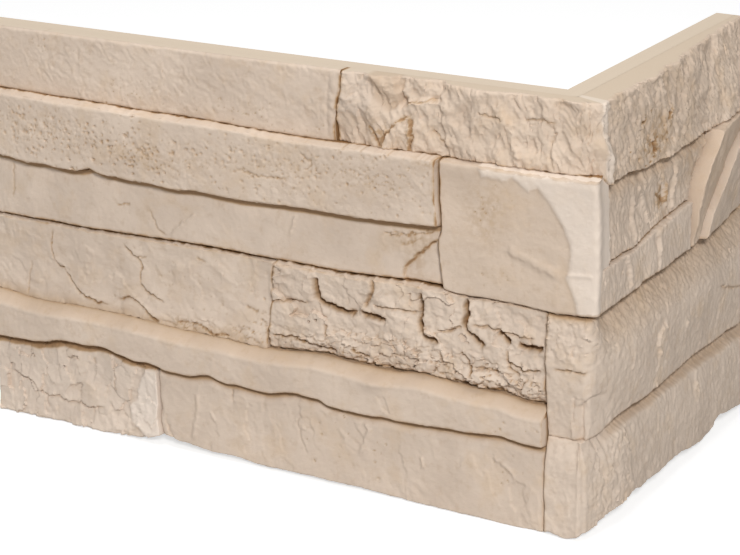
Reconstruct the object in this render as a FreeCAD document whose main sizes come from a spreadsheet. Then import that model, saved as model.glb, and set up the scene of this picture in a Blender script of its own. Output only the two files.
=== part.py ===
import FreeCAD, Part
import math
import os

# One cast corner piece of ledge stone cladding: an L of thin backing with courses of
# stones in relief on its two outer sides. Millimetres, +Z up.
# The origin is the foot of the inside corner line, where the two back faces meet.
# The long leg runs along -X with its stones facing -Y, and the short leg runs along +Y
# with its stones facing +X.
# "Depth" is the distance of a stone's face from the back face of its leg.

DOCUMENT = FreeCAD.newDocument("cladding_corner")
SHEET = DOCUMENT.addObject("Spreadsheet::Sheet", "sizes")

DRIVING = {
    "long_leg": 325.0,
    "short_leg": 174.0,
    "backing": 10.0,
    "stone_root": 6.0,
    "joint": 1.3,
    # slopes of the moulded ends, and how far in from the end the sections turn square
    "left_draft": 0.25,
    "right_draft": 0.05,
    "draft_run": 60.0,
    # rounded edges of the stones
    "edge_round": 1.3,
    "foot_round": 2.4,
    "tall_edge_round": 2.8,
    # heights of the courses on the long leg, from the foot up
    "foot_course": 41.35,
    "ledge_course": 20.3,
    "lower_course": 42.7,
    "middle_course": 29.3,
    "upper_course": 32.9,
    "top_course": 32.95,
    # heights of the courses on the short leg; its top course fills up to the same height
    "side_foot_course": 51.25,
    "side_lower_course": 55.7,
    "side_middle_course": 21.3,
    "side_upper_course": 32.2,
    # how far the joint between the two side stones climbs, and the one over them falls
    "side_joint_climb": 4.3,
    "side_top_fall": 2.6,
    # upright joints on the long leg, measured from the inside corner
    "top_corner_stone": 111.0,
    "tall_stone": 54.0,
    "rough_stone": 148.0,
    "foot_stone": 214.0,
    "corner_column": 2.6,
    # far ends of the two side stones on the short leg, and how far the upper one leans out
    "side_stones": 86.0,
    "ridge_lean": 26.0,
    # depths of the stone faces
    "top_left_depth": 19.0,
    "top_corner_depth": 19.0,
    "upper_depth": 26.5,
    "middle_depth": 21.0,
    "tall_depth": 25.5,
    "lower_depth": 22.0,
    "rough_depth": 23.5,
    "ledge_depth": 30.8,
    "ledge_slope": 7.2,
    "foot_left_depth": 28.0,
    "foot_depth": 28.5,
    "column_depth": 26.0,
    "column_foot_depth": 30.5,
    # where the side faces of the corner column begin at its arris
    "column_arris_depth": 25.0,
    "side_top_depth": 27.0,
    "side_upper_depth": 26.5,
    "side_middle_depth": 28.0,
    "side_lower_depth": 27.5,
    "side_foot_depth": 30.5,
    "side_ledge_slope": 3.4,
    "side_lower_slope": 6.4,
    "side_top_thinning": 1.9,
    "column_groove": 2.6,
    "strip_rise": 2.0,
    "strip_width": 18.0,
    "shale_depth": 31.0,
    "shale_tilt": 0.2,
    "shale_climb": 42.0,
    "shale_bevel": 4.0,
    # arrises at the outside corner
    "top_arris": 8.0,
    "lower_arris": 5.0,
    "foot_arris": 6.5,
    # unevenness of the split stones and the blocks of the rough stone
    "split_relief": 2.6,
    "split_pitch": 19.0,
    "block_crack": 2.8,
    "crack_wander": 3.5,
    # how close together the cross-sections of the stones are
    "smooth_pitch": 11.0,
    "facet_pitch": 7.5,
}

# Edges of the broken blocks of the rough stone, as shares of its length and its height.
BLOCK_COLUMNS = (0.0, 0.17, 0.377, 0.565, 0.726, 1.0)
BLOCK_ROWS = (0.0, 0.28, 0.58, 1.0)

# Seeds of the repeatable unevenness, one for each split stone.
TOP_CORNER_SEED = 5
SIDE_TOP_SEED = 8
ROUGH_SEED = 3
FOOT_LEFT_SEED = 11
SIDE_UPPER_SEED = 31
SIDE_MIDDLE_SEED = 37
SIDE_LOWER_SEED = 23
SIDE_FOOT_SEED = 21

CORNER_STEPS = 4

# Wavy edges, as (place along the leg from the inside corner, rise over the edge's level).
TOP_JOINT_LINE = (
    (-325, 2.0), (-282, 1.1), (-228, 0.4), (-176, 0.0), (-151, -0.8), (-119, -1.2), (-93, -0.5),
    (-35, -0.2), (11, 0.0), (31, 0.8),
)
UPPER_JOINT_LINE = (
    (-325, 2.8), (-309, 2.0), (-295, 0.5), (-272, -0.2), (-257, 1.0), (-252, 2.4), (-247, 0.8),
    (-233, -0.4), (-205, -1.6), (-188, -0.6), (-163, -1.6), (-128, -0.5), (-106, -0.6),
    (-80, 0.2), (-53, 1.6),
)
MIDDLE_JOINT_LINE = (
    (-325, -0.5), (-247, -0.6), (-203, 0.4), (-160, 0.5), (-108, 0.0), (-80, 1.3), (-55, 1.7),
    (-37, 0.6), (-15, 0.8), (1, 0.0), (7, -0.4), (14, 0.0), (29, 1.4),
)
LEDGE_TOP_LINE = (
    (-325, 2.9), (-303, 0.8), (-256, 1.2), (-221, 0.4), (-200, -0.8), (-149, -1.8), (-132, -0.2),
    (-121, 0.8), (-99, -0.1), (-64, 1.0), (-26, -1.1), (-9, -2.6), (4, -2.6),
)
LEDGE_FOOT_LINE = (
    (-325, 0.0), (-292, 0.7), (-281, 2.9), (-274, 4.1), (-259, 4.1), (-248, 5.2), (-238, 3.3),
    (-227, 1.0), (-219, 1.5), (-208, -0.6), (-192, -0.5), (-180, 1.5), (-171, -0.9), (-145, -1.0),
    (-130, 1.9), (-116, 0.9), (-105, -1.5), (-89, -1.9), (-72, -1.4), (-42, 0.2), (-16, 1.8),
    (-5, 0.3), (4, 0.4),
)
FOOT_LINE = (
    (-325, 0.0), (-247, 0.0), (-230, 1.4), (-220, 2.7), (-213, 5.2), (-208, 5.8), (-203, 4.6),
    (-196, 4.1), (-182, 2.6), (-169, 3.0), (-157, 1.8), (-97, 1.5), (-79, 0.7), (-37, 0.2),
    (5, 0.0), (8, 1.6), (11, 0.8), (20, 1.0), (26, 3.0),
)
COLUMN_GROOVE_RISE = -3.7
SIDE_FOOT_LINE = (
    (-30, 7.0), (-21, 9.5), (-6, 8.6), (2, 7.4), (6, 8.9), (14, 9.7), (25, 7.4), (42, 8.3),
    (71, 7.8), (80, 5.6), (94, 4.1), (106, 4.7), (109, 8.0), (115, 10.1), (129, 8.1), (148, 5.6),
    (174, 5.0),
)
SIDE_GROOVE_LINE = (
    (-16, -2.5), (-8, -0.3), (7, 1.3), (31, 0.9), (45, 1.3), (62, 0.7), (84, 0.5), (104, -0.5),
    (124, -1.7), (137, -1.9), (151, -3.3), (174, -4.3),
)
SIDE_MIDDLE_LINE = (
    (-24, -0.9), (17, -0.7), (30, 0.3), (71, 0.8), (104, 1.9), (122, 1.1), (145, 0.5), (174, 0.1),
)


def write_sheet():
    """Fill the spreadsheet with the driving sizes as plain numbers, each with its alias."""
    for row, (name, value) in enumerate(DRIVING.items(), start=1):
        SHEET.set(f"A{row}", name)
        SHEET.set(f"B{row}", str(value))
        SHEET.setAlias(f"B{row}", name)
    DOCUMENT.recompute()


def size(name):
    """A driving size, read back from the spreadsheet."""
    return float(getattr(SHEET, name))


def swell(place, centre, half_width, rise):
    """A rounded rise of the given height, which fades out at half_width from its centre."""
    reach = min(abs(place - centre) / half_width, 1.0)
    return rise * 0.5 * (1.0 + math.cos(math.pi * reach))


def along(line, place):
    """The value of a line of points (place, value) at a place; it is level beyond its ends."""
    if place <= line[0][0]:
        return line[0][1]
    for (near, low), (far, high) in zip(line, line[1:]):
        if place <= far:
            return low + (high - low) * (place - near) / (far - near)
    return line[-1][1]


def scatter(column, row, seed):
    """A repeatable number from -1 to 1 for one corner of a facet."""
    raw = math.sin(column * 12.9898 + row * 78.233 + seed * 37.719) * 43758.5453
    return 2.0 * (raw - math.floor(raw)) - 1.0


def broken(place, row, seed):
    """A split face's unevenness from -1 to 1: broad hollows and rises with a finer break."""
    cell = place / size("split_pitch")
    left = math.floor(cell)
    share = cell - left
    here = scatter(left, row // 2, seed)
    after = scatter(left + 1, row // 2, seed)
    fine = scatter(round(place / size("facet_pitch")), row, seed)
    return 0.6 * ((1.0 - share) * here + share * after) + 0.4 * fine


def spread(first, last, count):
    """Evenly spaced values from first to last."""
    return [first + (last - first) * i / (count - 1) for i in range(count)]


def stations(first, last, pitch):
    """Places from first to last, no further apart than the pitch."""
    return spread(first, last, max(int(math.ceil((last - first) / pitch)), 1) + 1)


def on_long_leg(place):
    """
    An upright section plane across the long leg, as a function of depth and height.

    It is square to the leg, apart from the last stretch, where it leans towards the
    drafted end.
    """
    from_end = (place + size("long_leg")) / size("draft_run")
    draft = size("left_draft") * max(1.0 - from_end, 0.0)
    return lambda depth, height: FreeCAD.Vector(place + draft * depth, -depth, height)


def on_short_leg(place):
    """The same across the short leg, where the far end is drafted."""
    from_end = (size("short_leg") - place) / size("draft_run")
    draft = size("right_draft") * max(1.0 - from_end, 0.0)
    return lambda depth, height: FreeCAD.Vector(depth, place - draft * depth, height)


def on_corner(out_x, out_y, full_depth):
    """An upright plane through the inside corner line and the point (out_x, -out_y)."""
    return lambda depth, height: FreeCAD.Vector(
        depth / full_depth * out_x, -depth / full_depth * out_y, height
    )


def corner_planes(out_x, out_y, arris):
    """Section planes that turn from one leg to the other round an arris of that radius."""
    planes = []
    for step in range(CORNER_STEPS):
        turn = math.pi / 2.0 * step / (CORNER_STEPS - 1)
        x = out_x - arris + arris * math.sin(turn)
        y = out_y - arris + arris * math.cos(turn)
        planes.append(on_corner(x, y, out_y))
    return planes


def section(plane, foot, top, depths, low_round, high_round, shares=None):
    """
    The corners of one cross-section: its root, both rounded edges and its face.

    shares places the points of the face between its edges; without it they are evenly
    spaced.
    """
    root = size("stone_root")
    low, high = foot + low_round, top - high_round
    heights = spread(low, high, len(depths))
    if shares:
        heights = [low + share * (high - low) for share in shares]
    return [
        plane(root, foot),
        plane(depths[0] - low_round, foot),
        *[plane(depth, height) for depth, height in zip(depths, heights)],
        plane(depths[-1] - high_round, top),
        plane(root, top),
    ]


def add_piece(name, shape):
    """An object of the document that holds one stone."""
    piece = DOCUMENT.addObject("Part::Feature", name)
    piece.Shape = shape
    piece.Label = name
    return piece


def smooth_stone(name, sections):
    """A smooth stone, lofted through its cross-sections."""
    wires = [Part.makePolygon(points + points[:1]) for points in sections]
    return add_piece(name, Part.makeLoft(wires, True, True))


def polygon_face(points):
    """A flat face with the given corners."""
    return Part.Face(Part.makePolygon(points + points[:1]))


def facets(a, b, c, d):
    """The faces of one four-sided cell: one where it is flat, or else two triangles."""
    flat = 1e-6
    if abs((b - a).cross(d - a).dot(c - a)) < flat:
        return [polygon_face([a, b, c, d])]
    if a.distanceToPoint(c) < b.distanceToPoint(d):
        return [polygon_face([a, b, c]), polygon_face([a, c, d])]
    return [polygon_face([a, b, d]), polygon_face([b, c, d])]


def split_stone(name, sections):
    """A split stone: flat facets between its cross-sections, closed by its two ends."""
    faces = [polygon_face(sections[0]), polygon_face(sections[-1])]
    for near, far in zip(sections, sections[1:]):
        for k in range(len(near)):
            after = (k + 1) % len(near)
            faces.extend(facets(near[k], far[k], far[after], near[after]))
    solid = Part.makeSolid(Part.makeShell(faces))
    if solid.Volume < 0.0:
        solid.reverse()
    return add_piece(name, solid)


def course_levels():
    """The foot and top of each course on both legs; a joint lies between two courses."""
    joint = size("joint")
    levels = {}
    foot = 0.0
    for name in ("foot", "ledge", "lower", "middle", "upper", "top"):
        top = foot + size(f"{name}_course")
        levels[name] = (foot, top)
        foot = top + joint
    foot = 0.0
    for name in ("side_foot", "side_lower", "side_middle", "side_upper"):
        top = foot + size(f"{name}_course")
        levels[name] = (foot, top)
        foot = top + joint
    levels["side_top"] = (foot, levels["top"][1])
    return levels


def straight_sections(plane_at, first, last, foot_at, top_at, depths_at, options):
    """
    The cross-sections of a stone from first to last along one leg, with rounded ends.

    foot_at, top_at and depths_at give its lower edge, its upper edge and the depths of
    its face, from the lower edge up, at a place along the leg.
    """
    low = options.get("low_round", size("edge_round"))
    high = options.get("high_round", size("edge_round"))
    end = options.get("end_round", size("edge_round"))
    pitch = options.get("pitch", size("smooth_pitch"))
    sections = []
    for place in [first, *stations(first + end, last - end, pitch), last]:
        drop = end if place in (first, last) else 0.0
        depths = [depth - drop for depth in depths_at(place)]
        edges = foot_at(place), top_at(place)
        shares = options.get("shares")
        sections.append(section(plane_at(place), *edges, depths, low, high, shares))
    return sections


def long_leg_stone(name, ends, foot_at, top_at, depths_at, **options):
    """A smooth stone whose face lies on the long leg only."""
    sections = straight_sections(on_long_leg, *ends, foot_at, top_at, depths_at, options)
    return smooth_stone(name, sections)


def backing():
    """The L-shaped backing: a sketch of its plan, padded to the panel's height."""
    body = DOCUMENT.addObject("PartDesign::Body", "backing_slab")
    plan = body.newObject("Sketcher::SketchObject", "backing_plan")
    floor = next(f for f in body.Origin.OriginFeatures if f.Role == "XY_Plane")
    plan.AttachmentSupport = [(floor, "")]
    plan.MapMode = "FlatFace"
    thick = size("backing")
    corners = [
        (-size("long_leg"), 0.0),
        (-size("long_leg") + size("left_draft") * thick, -thick),
        (thick, -thick),
        (thick, size("short_leg") - size("right_draft") * thick),
        (0.0, size("short_leg")),
        (0.0, 0.0),
    ]
    points = [FreeCAD.Vector(x, y, 0.0) for x, y in corners]
    for start, end in zip(points, points[1:] + points[:1]):
        plan.addGeometry(Part.LineSegment(start, end), False)
    pad = body.newObject("PartDesign::Pad", "backing_pad")
    pad.Profile = plan
    courses = ("foot", "ledge", "lower", "middle", "upper", "top")
    heights = " + ".join(f"sizes.{name}_course" for name in courses)
    pad.setExpression("Length", f"{heights} + {len(courses) - 1} * sizes.joint")
    body.Tip = pad
    return body


def waves(place, leg, rises):
    """The sum of several swells, each (share of the leg from the corner, width, rise)."""
    return sum(swell(place, -share * leg, width, rise) for share, width, rise in rises)


def wavy(level, line):
    """An edge at the given level that follows a wavy line, as a function of the place."""
    return lambda place: level + along(line, place)


def top_and_upper_stones(levels):
    """The two long smooth stones at the top left."""
    leg = size("long_leg")
    left = -leg
    half = size("joint") / 2.0
    top, upper = levels["top"], levels["upper"]
    face = size("top_left_depth")
    proud = size("upper_depth")
    return [
        long_leg_stone(
            "top_left_stone",
            (left, -size("top_corner_stone") - half),
            wavy(top[0], TOP_JOINT_LINE),
            lambda x: top[1],
            lambda x: [
                face + 0.8,
                face + waves(x, leg, [(0.65, 70.0, 1.0)]),
                face - 0.4,
                face - 1.6,
            ],
        ),
        long_leg_stone(
            "upper_stone",
            (left, -size("tall_stone") - half),
            wavy(upper[0], UPPER_JOINT_LINE),
            wavy(upper[1], TOP_JOINT_LINE),
            lambda x: [
                proud - 1.0 + waves(x, leg, [(0.53, 40.0, 1.6)]),
                proud - 0.6 + waves(x, leg, [(0.37, 60.0, 1.0)]),
                proud + 0.3,
                proud + waves(x, leg, [(1.0, 130.0, 1.4)]),
            ],
        ),
    ]


def middle_and_tall_stones(levels):
    """The recessed stone under the upper course, and the tall block at the corner."""
    leg = size("long_leg")
    left = -leg
    half = size("joint") / 2.0
    middle, upper = levels["middle"], levels["upper"]
    face = size("middle_depth")
    tall = size("tall_depth")
    return [
        long_leg_stone(
            "middle_stone",
            (left, -size("tall_stone") - half),
            wavy(middle[0], MIDDLE_JOINT_LINE),
            wavy(middle[1], UPPER_JOINT_LINE),
            lambda x: [
                face + 1.4,
                face + 0.6 + waves(x, leg, [(0.62, 60.0, 1.4)]),
                face - 0.2,
                face - 0.8,
            ],
        ),
        long_leg_stone(
            "tall_stone",
            (-size("tall_stone") + half, size("side_upper_depth") + 2.0),
            wavy(middle[0], MIDDLE_JOINT_LINE),
            wavy(upper[1], TOP_JOINT_LINE),
            lambda x: [tall + 0.6, tall + swell(x, 0.0, 40.0, 1.0), tall - 0.4, tall - 1.0],
            end_round=size("tall_edge_round"),
            low_round=size("tall_edge_round"),
            high_round=size("tall_edge_round"),
        ),
    ]


def lower_and_ledge_stones(levels):
    """The smooth stone left of the rough one, and the thin ledge under them both."""
    leg = size("long_leg")
    left = -leg
    half = size("joint") / 2.0
    lower, ledge = levels["lower"], levels["ledge"]
    face = size("lower_depth")
    lip = size("ledge_depth")
    slope = size("ledge_slope")
    return [
        long_leg_stone(
            "lower_left_stone",
            (left, -size("rough_stone") - half),
            wavy(lower[0], LEDGE_TOP_LINE),
            wavy(lower[1], MIDDLE_JOINT_LINE),
            lambda x: [
                face + 1.0,
                face + 0.4 + waves(x, leg, [(0.74, 60.0, 1.2)]),
                face,
                face - 0.8,
            ],
        ),
        long_leg_stone(
            "ledge_stone",
            (left, size("corner_column") - half),
            wavy(ledge[0], LEDGE_FOOT_LINE),
            wavy(ledge[1], LEDGE_TOP_LINE),
            lambda x: [
                lip + waves(x, leg, [(0.34, 60.0, 1.2)]),
                lip,
                lip - 0.15 * slope,
                lip - slope,
            ],
            shares=(0.0, 0.35, 0.68, 1.0),
            pitch=size("facet_pitch"),
        ),
    ]


def foot_stones(levels):
    """The split stone and the smooth stone of the lowest course."""
    leg = size("long_leg")
    left = -leg
    half = size("joint") / 2.0
    foot = levels["foot"][0]
    rough = size("foot_left_depth")
    face = size("foot_depth")

    foot_at = wavy(foot, FOOT_LINE)
    top_at = wavy(levels["foot"][1], LEDGE_FOOT_LINE)

    def split_depths(x):
        return [
            rough + size("split_relief") * broken(x, row, FOOT_LEFT_SEED) for row in range(5)
        ]

    split_ends = (left, -size("foot_stone") - half)
    options = {"low_round": size("foot_round"), "pitch": size("facet_pitch")}
    split = straight_sections(on_long_leg, *split_ends, foot_at, top_at, split_depths, options)
    return [
        split_stone("foot_left_stone", split),
        long_leg_stone(
            "foot_stone",
            (-size("foot_stone") + half, size("corner_column") - half),
            foot_at,
            top_at,
            lambda x: [
                face + 1.4 + waves(x, leg, [(0.51, 45.0, 1.2)]),
                face + 0.6,
                face - 0.2,
                face - 0.8,
            ],
            low_round=size("foot_round"),
            pitch=size("facet_pitch"),
        ),
    ]


def block_lines(first, last, shares, crack):
    """
    Places that rule a rough face into blocks, each with True where it is a crack.

    Every block has a line on both its sides, a crack's half width in from the crack.
    """
    edges = [first + share * (last - first) for share in shares]
    lines = [(first, True)]
    for near, far in zip(edges, edges[1:]):
        lines.extend([(near + crack / 2.0, False), (far - crack / 2.0, False), (far, True)])
    return lines


def rough_stone(levels):
    """The rough stone of the lower course: rows of broken blocks with cracks between."""
    foot, top = levels["lower"]
    half = size("joint") / 2.0
    first = -size("rough_stone") + half
    last = size("corner_column") - half
    crack = size("block_crack")
    face = size("rough_depth")
    root = size("stone_root")
    wander = size("crack_wander")
    columns = block_lines(first, last, BLOCK_COLUMNS, crack)
    rows = block_lines(foot, top, BLOCK_ROWS, crack)
    sections = []
    for i, (place, in_column_crack) in enumerate(columns):
        plane = on_long_leg(place)
        low_rise = along(LEDGE_TOP_LINE, place)
        high_rise = along(MIDDLE_JOINT_LINE, place)
        points = [plane(root, foot + low_rise)]
        for j, (height, in_row_crack) in enumerate(rows):
            block = size("split_relief") * scatter(i // 3, j // 3, ROUGH_SEED)
            corner = 0.8 * scatter(i, j, ROUGH_SEED + 1)
            drop = crack * max(0.0, 0.8 + 1.1 * scatter(i, j, ROUGH_SEED + 2))
            depth = face + block + corner - (drop if in_column_crack or in_row_crack else 0.0)
            beside = (i + 1) // 3
            inside = 0 < i < len(columns) - 1 and 0 < beside < len(columns) // 3
            shift = wander * scatter(beside, j // 3, ROUGH_SEED + 3) if inside else 0.0
            under = (j + 1) // 3
            lift = 0.5 * wander * scatter(i // 3, under, ROUGH_SEED + 4)
            if under in (0, len(rows) // 3):
                lift = 0.0
            lift += low_rise + (high_rise - low_rise) * (height - foot) / (top - foot)
            points.append(plane(depth, height + lift) + FreeCAD.Vector(shift, 0.0, 0.0))
        points.append(plane(root, top + high_rise))
        sections.append(points)
    return split_stone("rough_stone", sections)


def top_corner_stone(levels):
    """The split stone at the top, which wraps the corner and runs down the short leg."""
    long_level, top = levels["top"]
    foot_at = wavy(long_level, TOP_JOINT_LINE)
    side_foot = levels["side_top"][0]
    edge = size("edge_round")
    relief = size("split_relief")
    face = size("top_corner_depth")
    side_face = size("side_top_depth")
    rows = range(6)
    steps = CORNER_STEPS - 1
    start = -size("top_corner_stone") + size("joint") / 2.0

    def long_depths(x):
        scoop = swell(x, start + 18.0, 18.0, 1.4)
        flare = swell(x, 0.0, 34.0, 1.0)
        return [
            face + (1.5 - 0.5 * row) * (1.0 + flare) - scoop * row
            + relief * broken(x, row, TOP_CORNER_SEED)
            for row in rows
        ]

    def side_depths(y):
        thin = swell(y, size("short_leg"), 110.0, size("side_top_thinning"))
        return [
            side_face + 0.6 - (0.5 + thin) * row + relief * broken(y, row, SIDE_TOP_SEED)
            for row in rows
        ]

    end = size("short_leg")
    first = [depth - edge for depth in long_depths(start)]
    sections = [section(on_long_leg(start), foot_at(start), top, first, edge, edge)]
    for x in stations(start + edge, -6.0, size("facet_pitch")):
        sections.append(section(on_long_leg(x), foot_at(x), top, long_depths(x), edge, edge))
    arris = [face + 2.2 - 0.6 * row for row in rows]
    corner_foot = foot_at(side_face)
    for step, plane in enumerate(corner_planes(side_face + 0.6, arris[0], size("top_arris"))):
        foot = corner_foot + (side_foot + side_top_rise(0.0) - corner_foot) * step / steps
        sections.append(section(plane, foot, top, arris, edge, edge))
    for y in stations(6.0, end - edge, size("facet_pitch")):
        foot = side_foot + side_top_rise(y)
        sections.append(section(on_short_leg(y), foot, top, side_depths(y), edge, edge))
    last = [depth - edge for depth in side_depths(end)]
    end_foot = side_foot + side_top_rise(end)
    sections.append(section(on_short_leg(end), end_foot, top, last, edge, edge))
    return split_stone("top_corner_stone", sections)


def column_stone(name, long_edges, side_edges, faces, arris, slope, rounds, seed, groove=0.0):
    """
    A stone of the corner column, which runs on down the whole short leg.

    long_edges and side_edges give its lower and its upper edge at a place on each leg.
    slope is (where it starts as a share of the height, how far the face leans back above
    that on the short leg). The lower edge is ragged, and a groove may cross the middle on
    the long leg and round the arris.
    """
    long_face, side_face = faces
    slope_start, lean_back = slope
    low, high = rounds
    relief = size("split_relief") / 3.0
    groove_width = 0.04
    shares = [0.0, 0.28, 0.54 - groove_width, 0.54, 0.54 + groove_width, 0.84, 1.0]
    start = size("corner_column") + size("joint") / 2.0
    end = size("short_leg")
    thin_run = 70.0

    def add(plane, edges, face, place, drop, fade):
        depths = []
        for row, share in enumerate(shares):
            lean = lean_back * (1.0 - fade) * max(share - slope_start, 0.0) / (1.0 - slope_start)
            uneven = relief * broken(place, row, seed)
            cut = groove * fade if share == 0.54 else 0.0
            depths.append(face - lean + uneven - drop - cut)
        ragged = low * (1.0 + 0.45 * broken(place, 0, seed + 1))
        sections.append(section(plane, *edges, depths, ragged, high, shares))

    sections = []
    first = [edge_at(start) for edge_at in long_edges]
    add(on_long_leg(start), first, long_face, 0.0, 0.0, 1.0)
    turns = corner_planes(size("column_arris_depth"), long_face + 1.5, arris)
    here = [edge_at(size("column_arris_depth") - arris) for edge_at in long_edges]
    there = [edge_at(-long_face) for edge_at in side_edges]
    for step, plane in enumerate(turns):
        share = step / (len(turns) - 1)
        edges = [a + (b - a) * share for a, b in zip(here, there)]
        add(plane, edges, long_face + 1.5, size("split_pitch"), 0.0, 1.0 - share)
    for y in stations(6.0, end - high, size("facet_pitch")):
        edges = [edge_at(y) for edge_at in side_edges]
        add(on_short_leg(y), edges, side_face, y, swell(y, end, thin_run, 2.0), 0.0)
    last = [edge_at(end) for edge_at in side_edges]
    add(on_short_leg(end), last, side_face, end, 2.0 + high, 0.0)
    return split_stone(name, sections)


def column_stones(levels):
    """The two stones under the tall block, which wrap the corner."""
    edge = size("edge_round")
    lower, foot = levels["side_lower"], levels["side_foot"]
    lower_faces = (size("column_depth"), size("side_lower_depth"))
    foot_faces = (size("column_foot_depth"), size("side_foot_depth"))
    top_at = wavy(levels["middle"][0] - size("joint"), MIDDLE_JOINT_LINE)
    return [
        column_stone(
            "lower_corner_stone",
            (lambda x: lower[0] + COLUMN_GROOVE_RISE, top_at),
            (wavy(lower[0], SIDE_GROOVE_LINE), wavy(lower[1], SIDE_MIDDLE_LINE)),
            lower_faces, size("lower_arris"), (0.5, size("side_lower_slope")), (edge, edge),
            SIDE_LOWER_SEED, groove=size("column_groove"),
        ),
        column_stone(
            "foot_corner_stone",
            (wavy(foot[0], FOOT_LINE), lambda x: foot[1] + COLUMN_GROOVE_RISE),
            (wavy(foot[0], SIDE_FOOT_LINE), wavy(foot[1], SIDE_GROOVE_LINE)),
            foot_faces, size("foot_arris"), (0.84, size("side_ledge_slope")),
            (size("foot_round"), edge), SIDE_FOOT_SEED,
        ),
    ]


def side_share(y):
    """How far along the side stones a place on the short leg is, from 0 to 1."""
    return min(max(y / size("side_stones"), 0.0), 1.0)


def side_joint_rise(y):
    """The joint between the two side stones climbs away from the corner."""
    return size("side_joint_climb") * (side_share(y) - 0.5)


def side_top_rise(y):
    """The joint over the side stones falls away from the corner."""
    return size("side_top_fall") * (0.35 - side_share(y))


def side_stone(name, foot_at, top_at, face, seed, top_run=0.0, strip=0.0):
    """
    A stone on the short leg beside the tall block, gently uneven.

    Its far end leans, so that the upper edge is longer than the lower one by top_run. A
    strip beside the tall block stands proud.
    """
    foot, top = foot_at(0.0), top_at(0.0)
    relief = size("split_relief") / 2.0
    first = -size("tall_depth") + size("tall_edge_round") + size("joint") / 2.0
    last = size("side_stones")

    def leaning_plane(place):
        lean = top_run * ((place - first) / (last - first)) ** 2
        return lambda depth, height: FreeCAD.Vector(
            depth, place + lean * (height - foot) / (top - foot), height
        )

    def depths_at(y):
        proud = face + swell(y, first, size("strip_width"), strip)
        return [proud + relief * broken(y, row, seed) for row in range(4)]

    options = {"pitch": size("facet_pitch")}
    sections = straight_sections(
        leaning_plane, first, last, foot_at, top_at, depths_at, options
    )
    return split_stone(name, sections)


def side_stones(levels):
    """The two stones of the short leg that butt against the tall block."""
    upper, middle = levels["side_upper"], levels["side_middle"]
    return [
        side_stone(
            "side_upper_stone",
            lambda y: upper[0] + side_joint_rise(y),
            lambda y: upper[1] + side_top_rise(y),
            size("side_upper_depth"),
            SIDE_UPPER_SEED,
            top_run=size("ridge_lean"),
            strip=size("strip_rise"),
        ),
        side_stone(
            "side_middle_stone",
            wavy(middle[0], SIDE_MIDDLE_LINE),
            lambda y: middle[1] + side_joint_rise(y),
            size("side_middle_depth"),
            SIDE_MIDDLE_SEED,
        ),
    ]


def shale_front(origin):
    """
    The depth of a layer's leaning face at a place and height on the short leg.

    It is greatest along the ridge through the origin, which climbs away from the corner,
    and falls evenly with the distance below and beyond that ridge.
    """
    climb = math.radians(size("shale_climb"))
    start, foot = origin
    return lambda place, height: size("shale_depth") - size("shale_tilt") * (
        (place - start) * math.sin(climb) - (height - foot) * math.cos(climb)
    )


def shale_layer(name, outline, front_at):
    """
    A tilted layer at the far end of the short leg, with one flat leaning face.

    outline lists its corners as (place, height, run), where run is how far the corner of
    the face lies beyond the corner of the root; a place of None is the end of the leg.
    """
    root = size("stone_root")
    end = on_short_leg(size("short_leg"))
    tilt = size("shale_tilt") * math.sin(math.radians(size("shale_climb")))
    back, front = [], []
    for place, height, run in outline:
        if place is None:
            # where the leaning face meets the drafted end
            depth = front_at(size("short_leg"), height) / (1.0 - tilt * size("right_draft"))
            back.append(end(root, height))
            front.append(end(depth, height))
        else:
            depth = front_at(place + run, height)
            back.append(FreeCAD.Vector(root, place, height))
            front.append(FreeCAD.Vector(depth, place + run, height))
    wires = [Part.makePolygon(points + points[:1]) for points in (back, front)]
    return add_piece(name, Part.makeLoft(wires, True, True))


def shale_layers(levels):
    """The two tilted layers between the side stones and the end of the short leg."""
    foot = levels["side_middle"][0] + along(SIDE_MIDDLE_LINE, size("short_leg"))
    bend = levels["side_upper"][0] + side_joint_rise(size("side_stones"))
    top = levels["side_upper"][1] + side_top_rise(size("side_stones"))
    rise = top - foot
    joint = size("joint")
    bevel = size("shale_bevel")
    start = size("side_stones") + joint
    run = size("short_leg") - size("right_draft") * size("shale_depth") - start
    ridge_foot = start + 0.1 * run
    # the ridge between the layers climbs away from the corner, in shares of run and rise
    ridge = [(0.164, 0.16), (0.275, 0.37), (0.448, 0.6), (0.62, 0.765), (0.868, 0.9)]
    near = [(start + along * run, foot + up * rise) for along, up in ridge]
    ridge_top = foot + 0.94 * rise
    first_outline = [
        (start, foot, 0.0),
        (ridge_foot, foot, 0.0),
        *[(place, level, 0.0) for place, level in near],
        (None, ridge_top, 0.0),
        (None, top, 0.0),
        (start + size("ridge_lean"), top, bevel),
        (start, bend, bevel),
    ]
    second_outline = [
        (ridge_foot + joint, foot, bevel),
        *[(place + joint, level, bevel) for place, level in near],
        (None, ridge_top - joint, 0.0),
        (None, foot, 0.0),
    ]
    second_foot = (ridge_foot + joint, foot)
    return [
        shale_layer("first_shale_layer", first_outline, shale_front((start, bend))),
        shale_layer("second_shale_layer", second_outline, shale_front(second_foot)),
    ]


def check(pieces):
    """Stop if an object of the document failed or a shape is empty or not valid."""
    for thing in DOCUMENT.Objects:
        if "Invalid" in thing.State or "Error" in thing.State:
            raise RuntimeError(f"{thing.Name} failed: {thing.State}")
    for piece in pieces:
        if piece.Shape.isNull() or not piece.Shape.isValid():
            raise RuntimeError(f"{piece.Label} has no valid shape")


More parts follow.
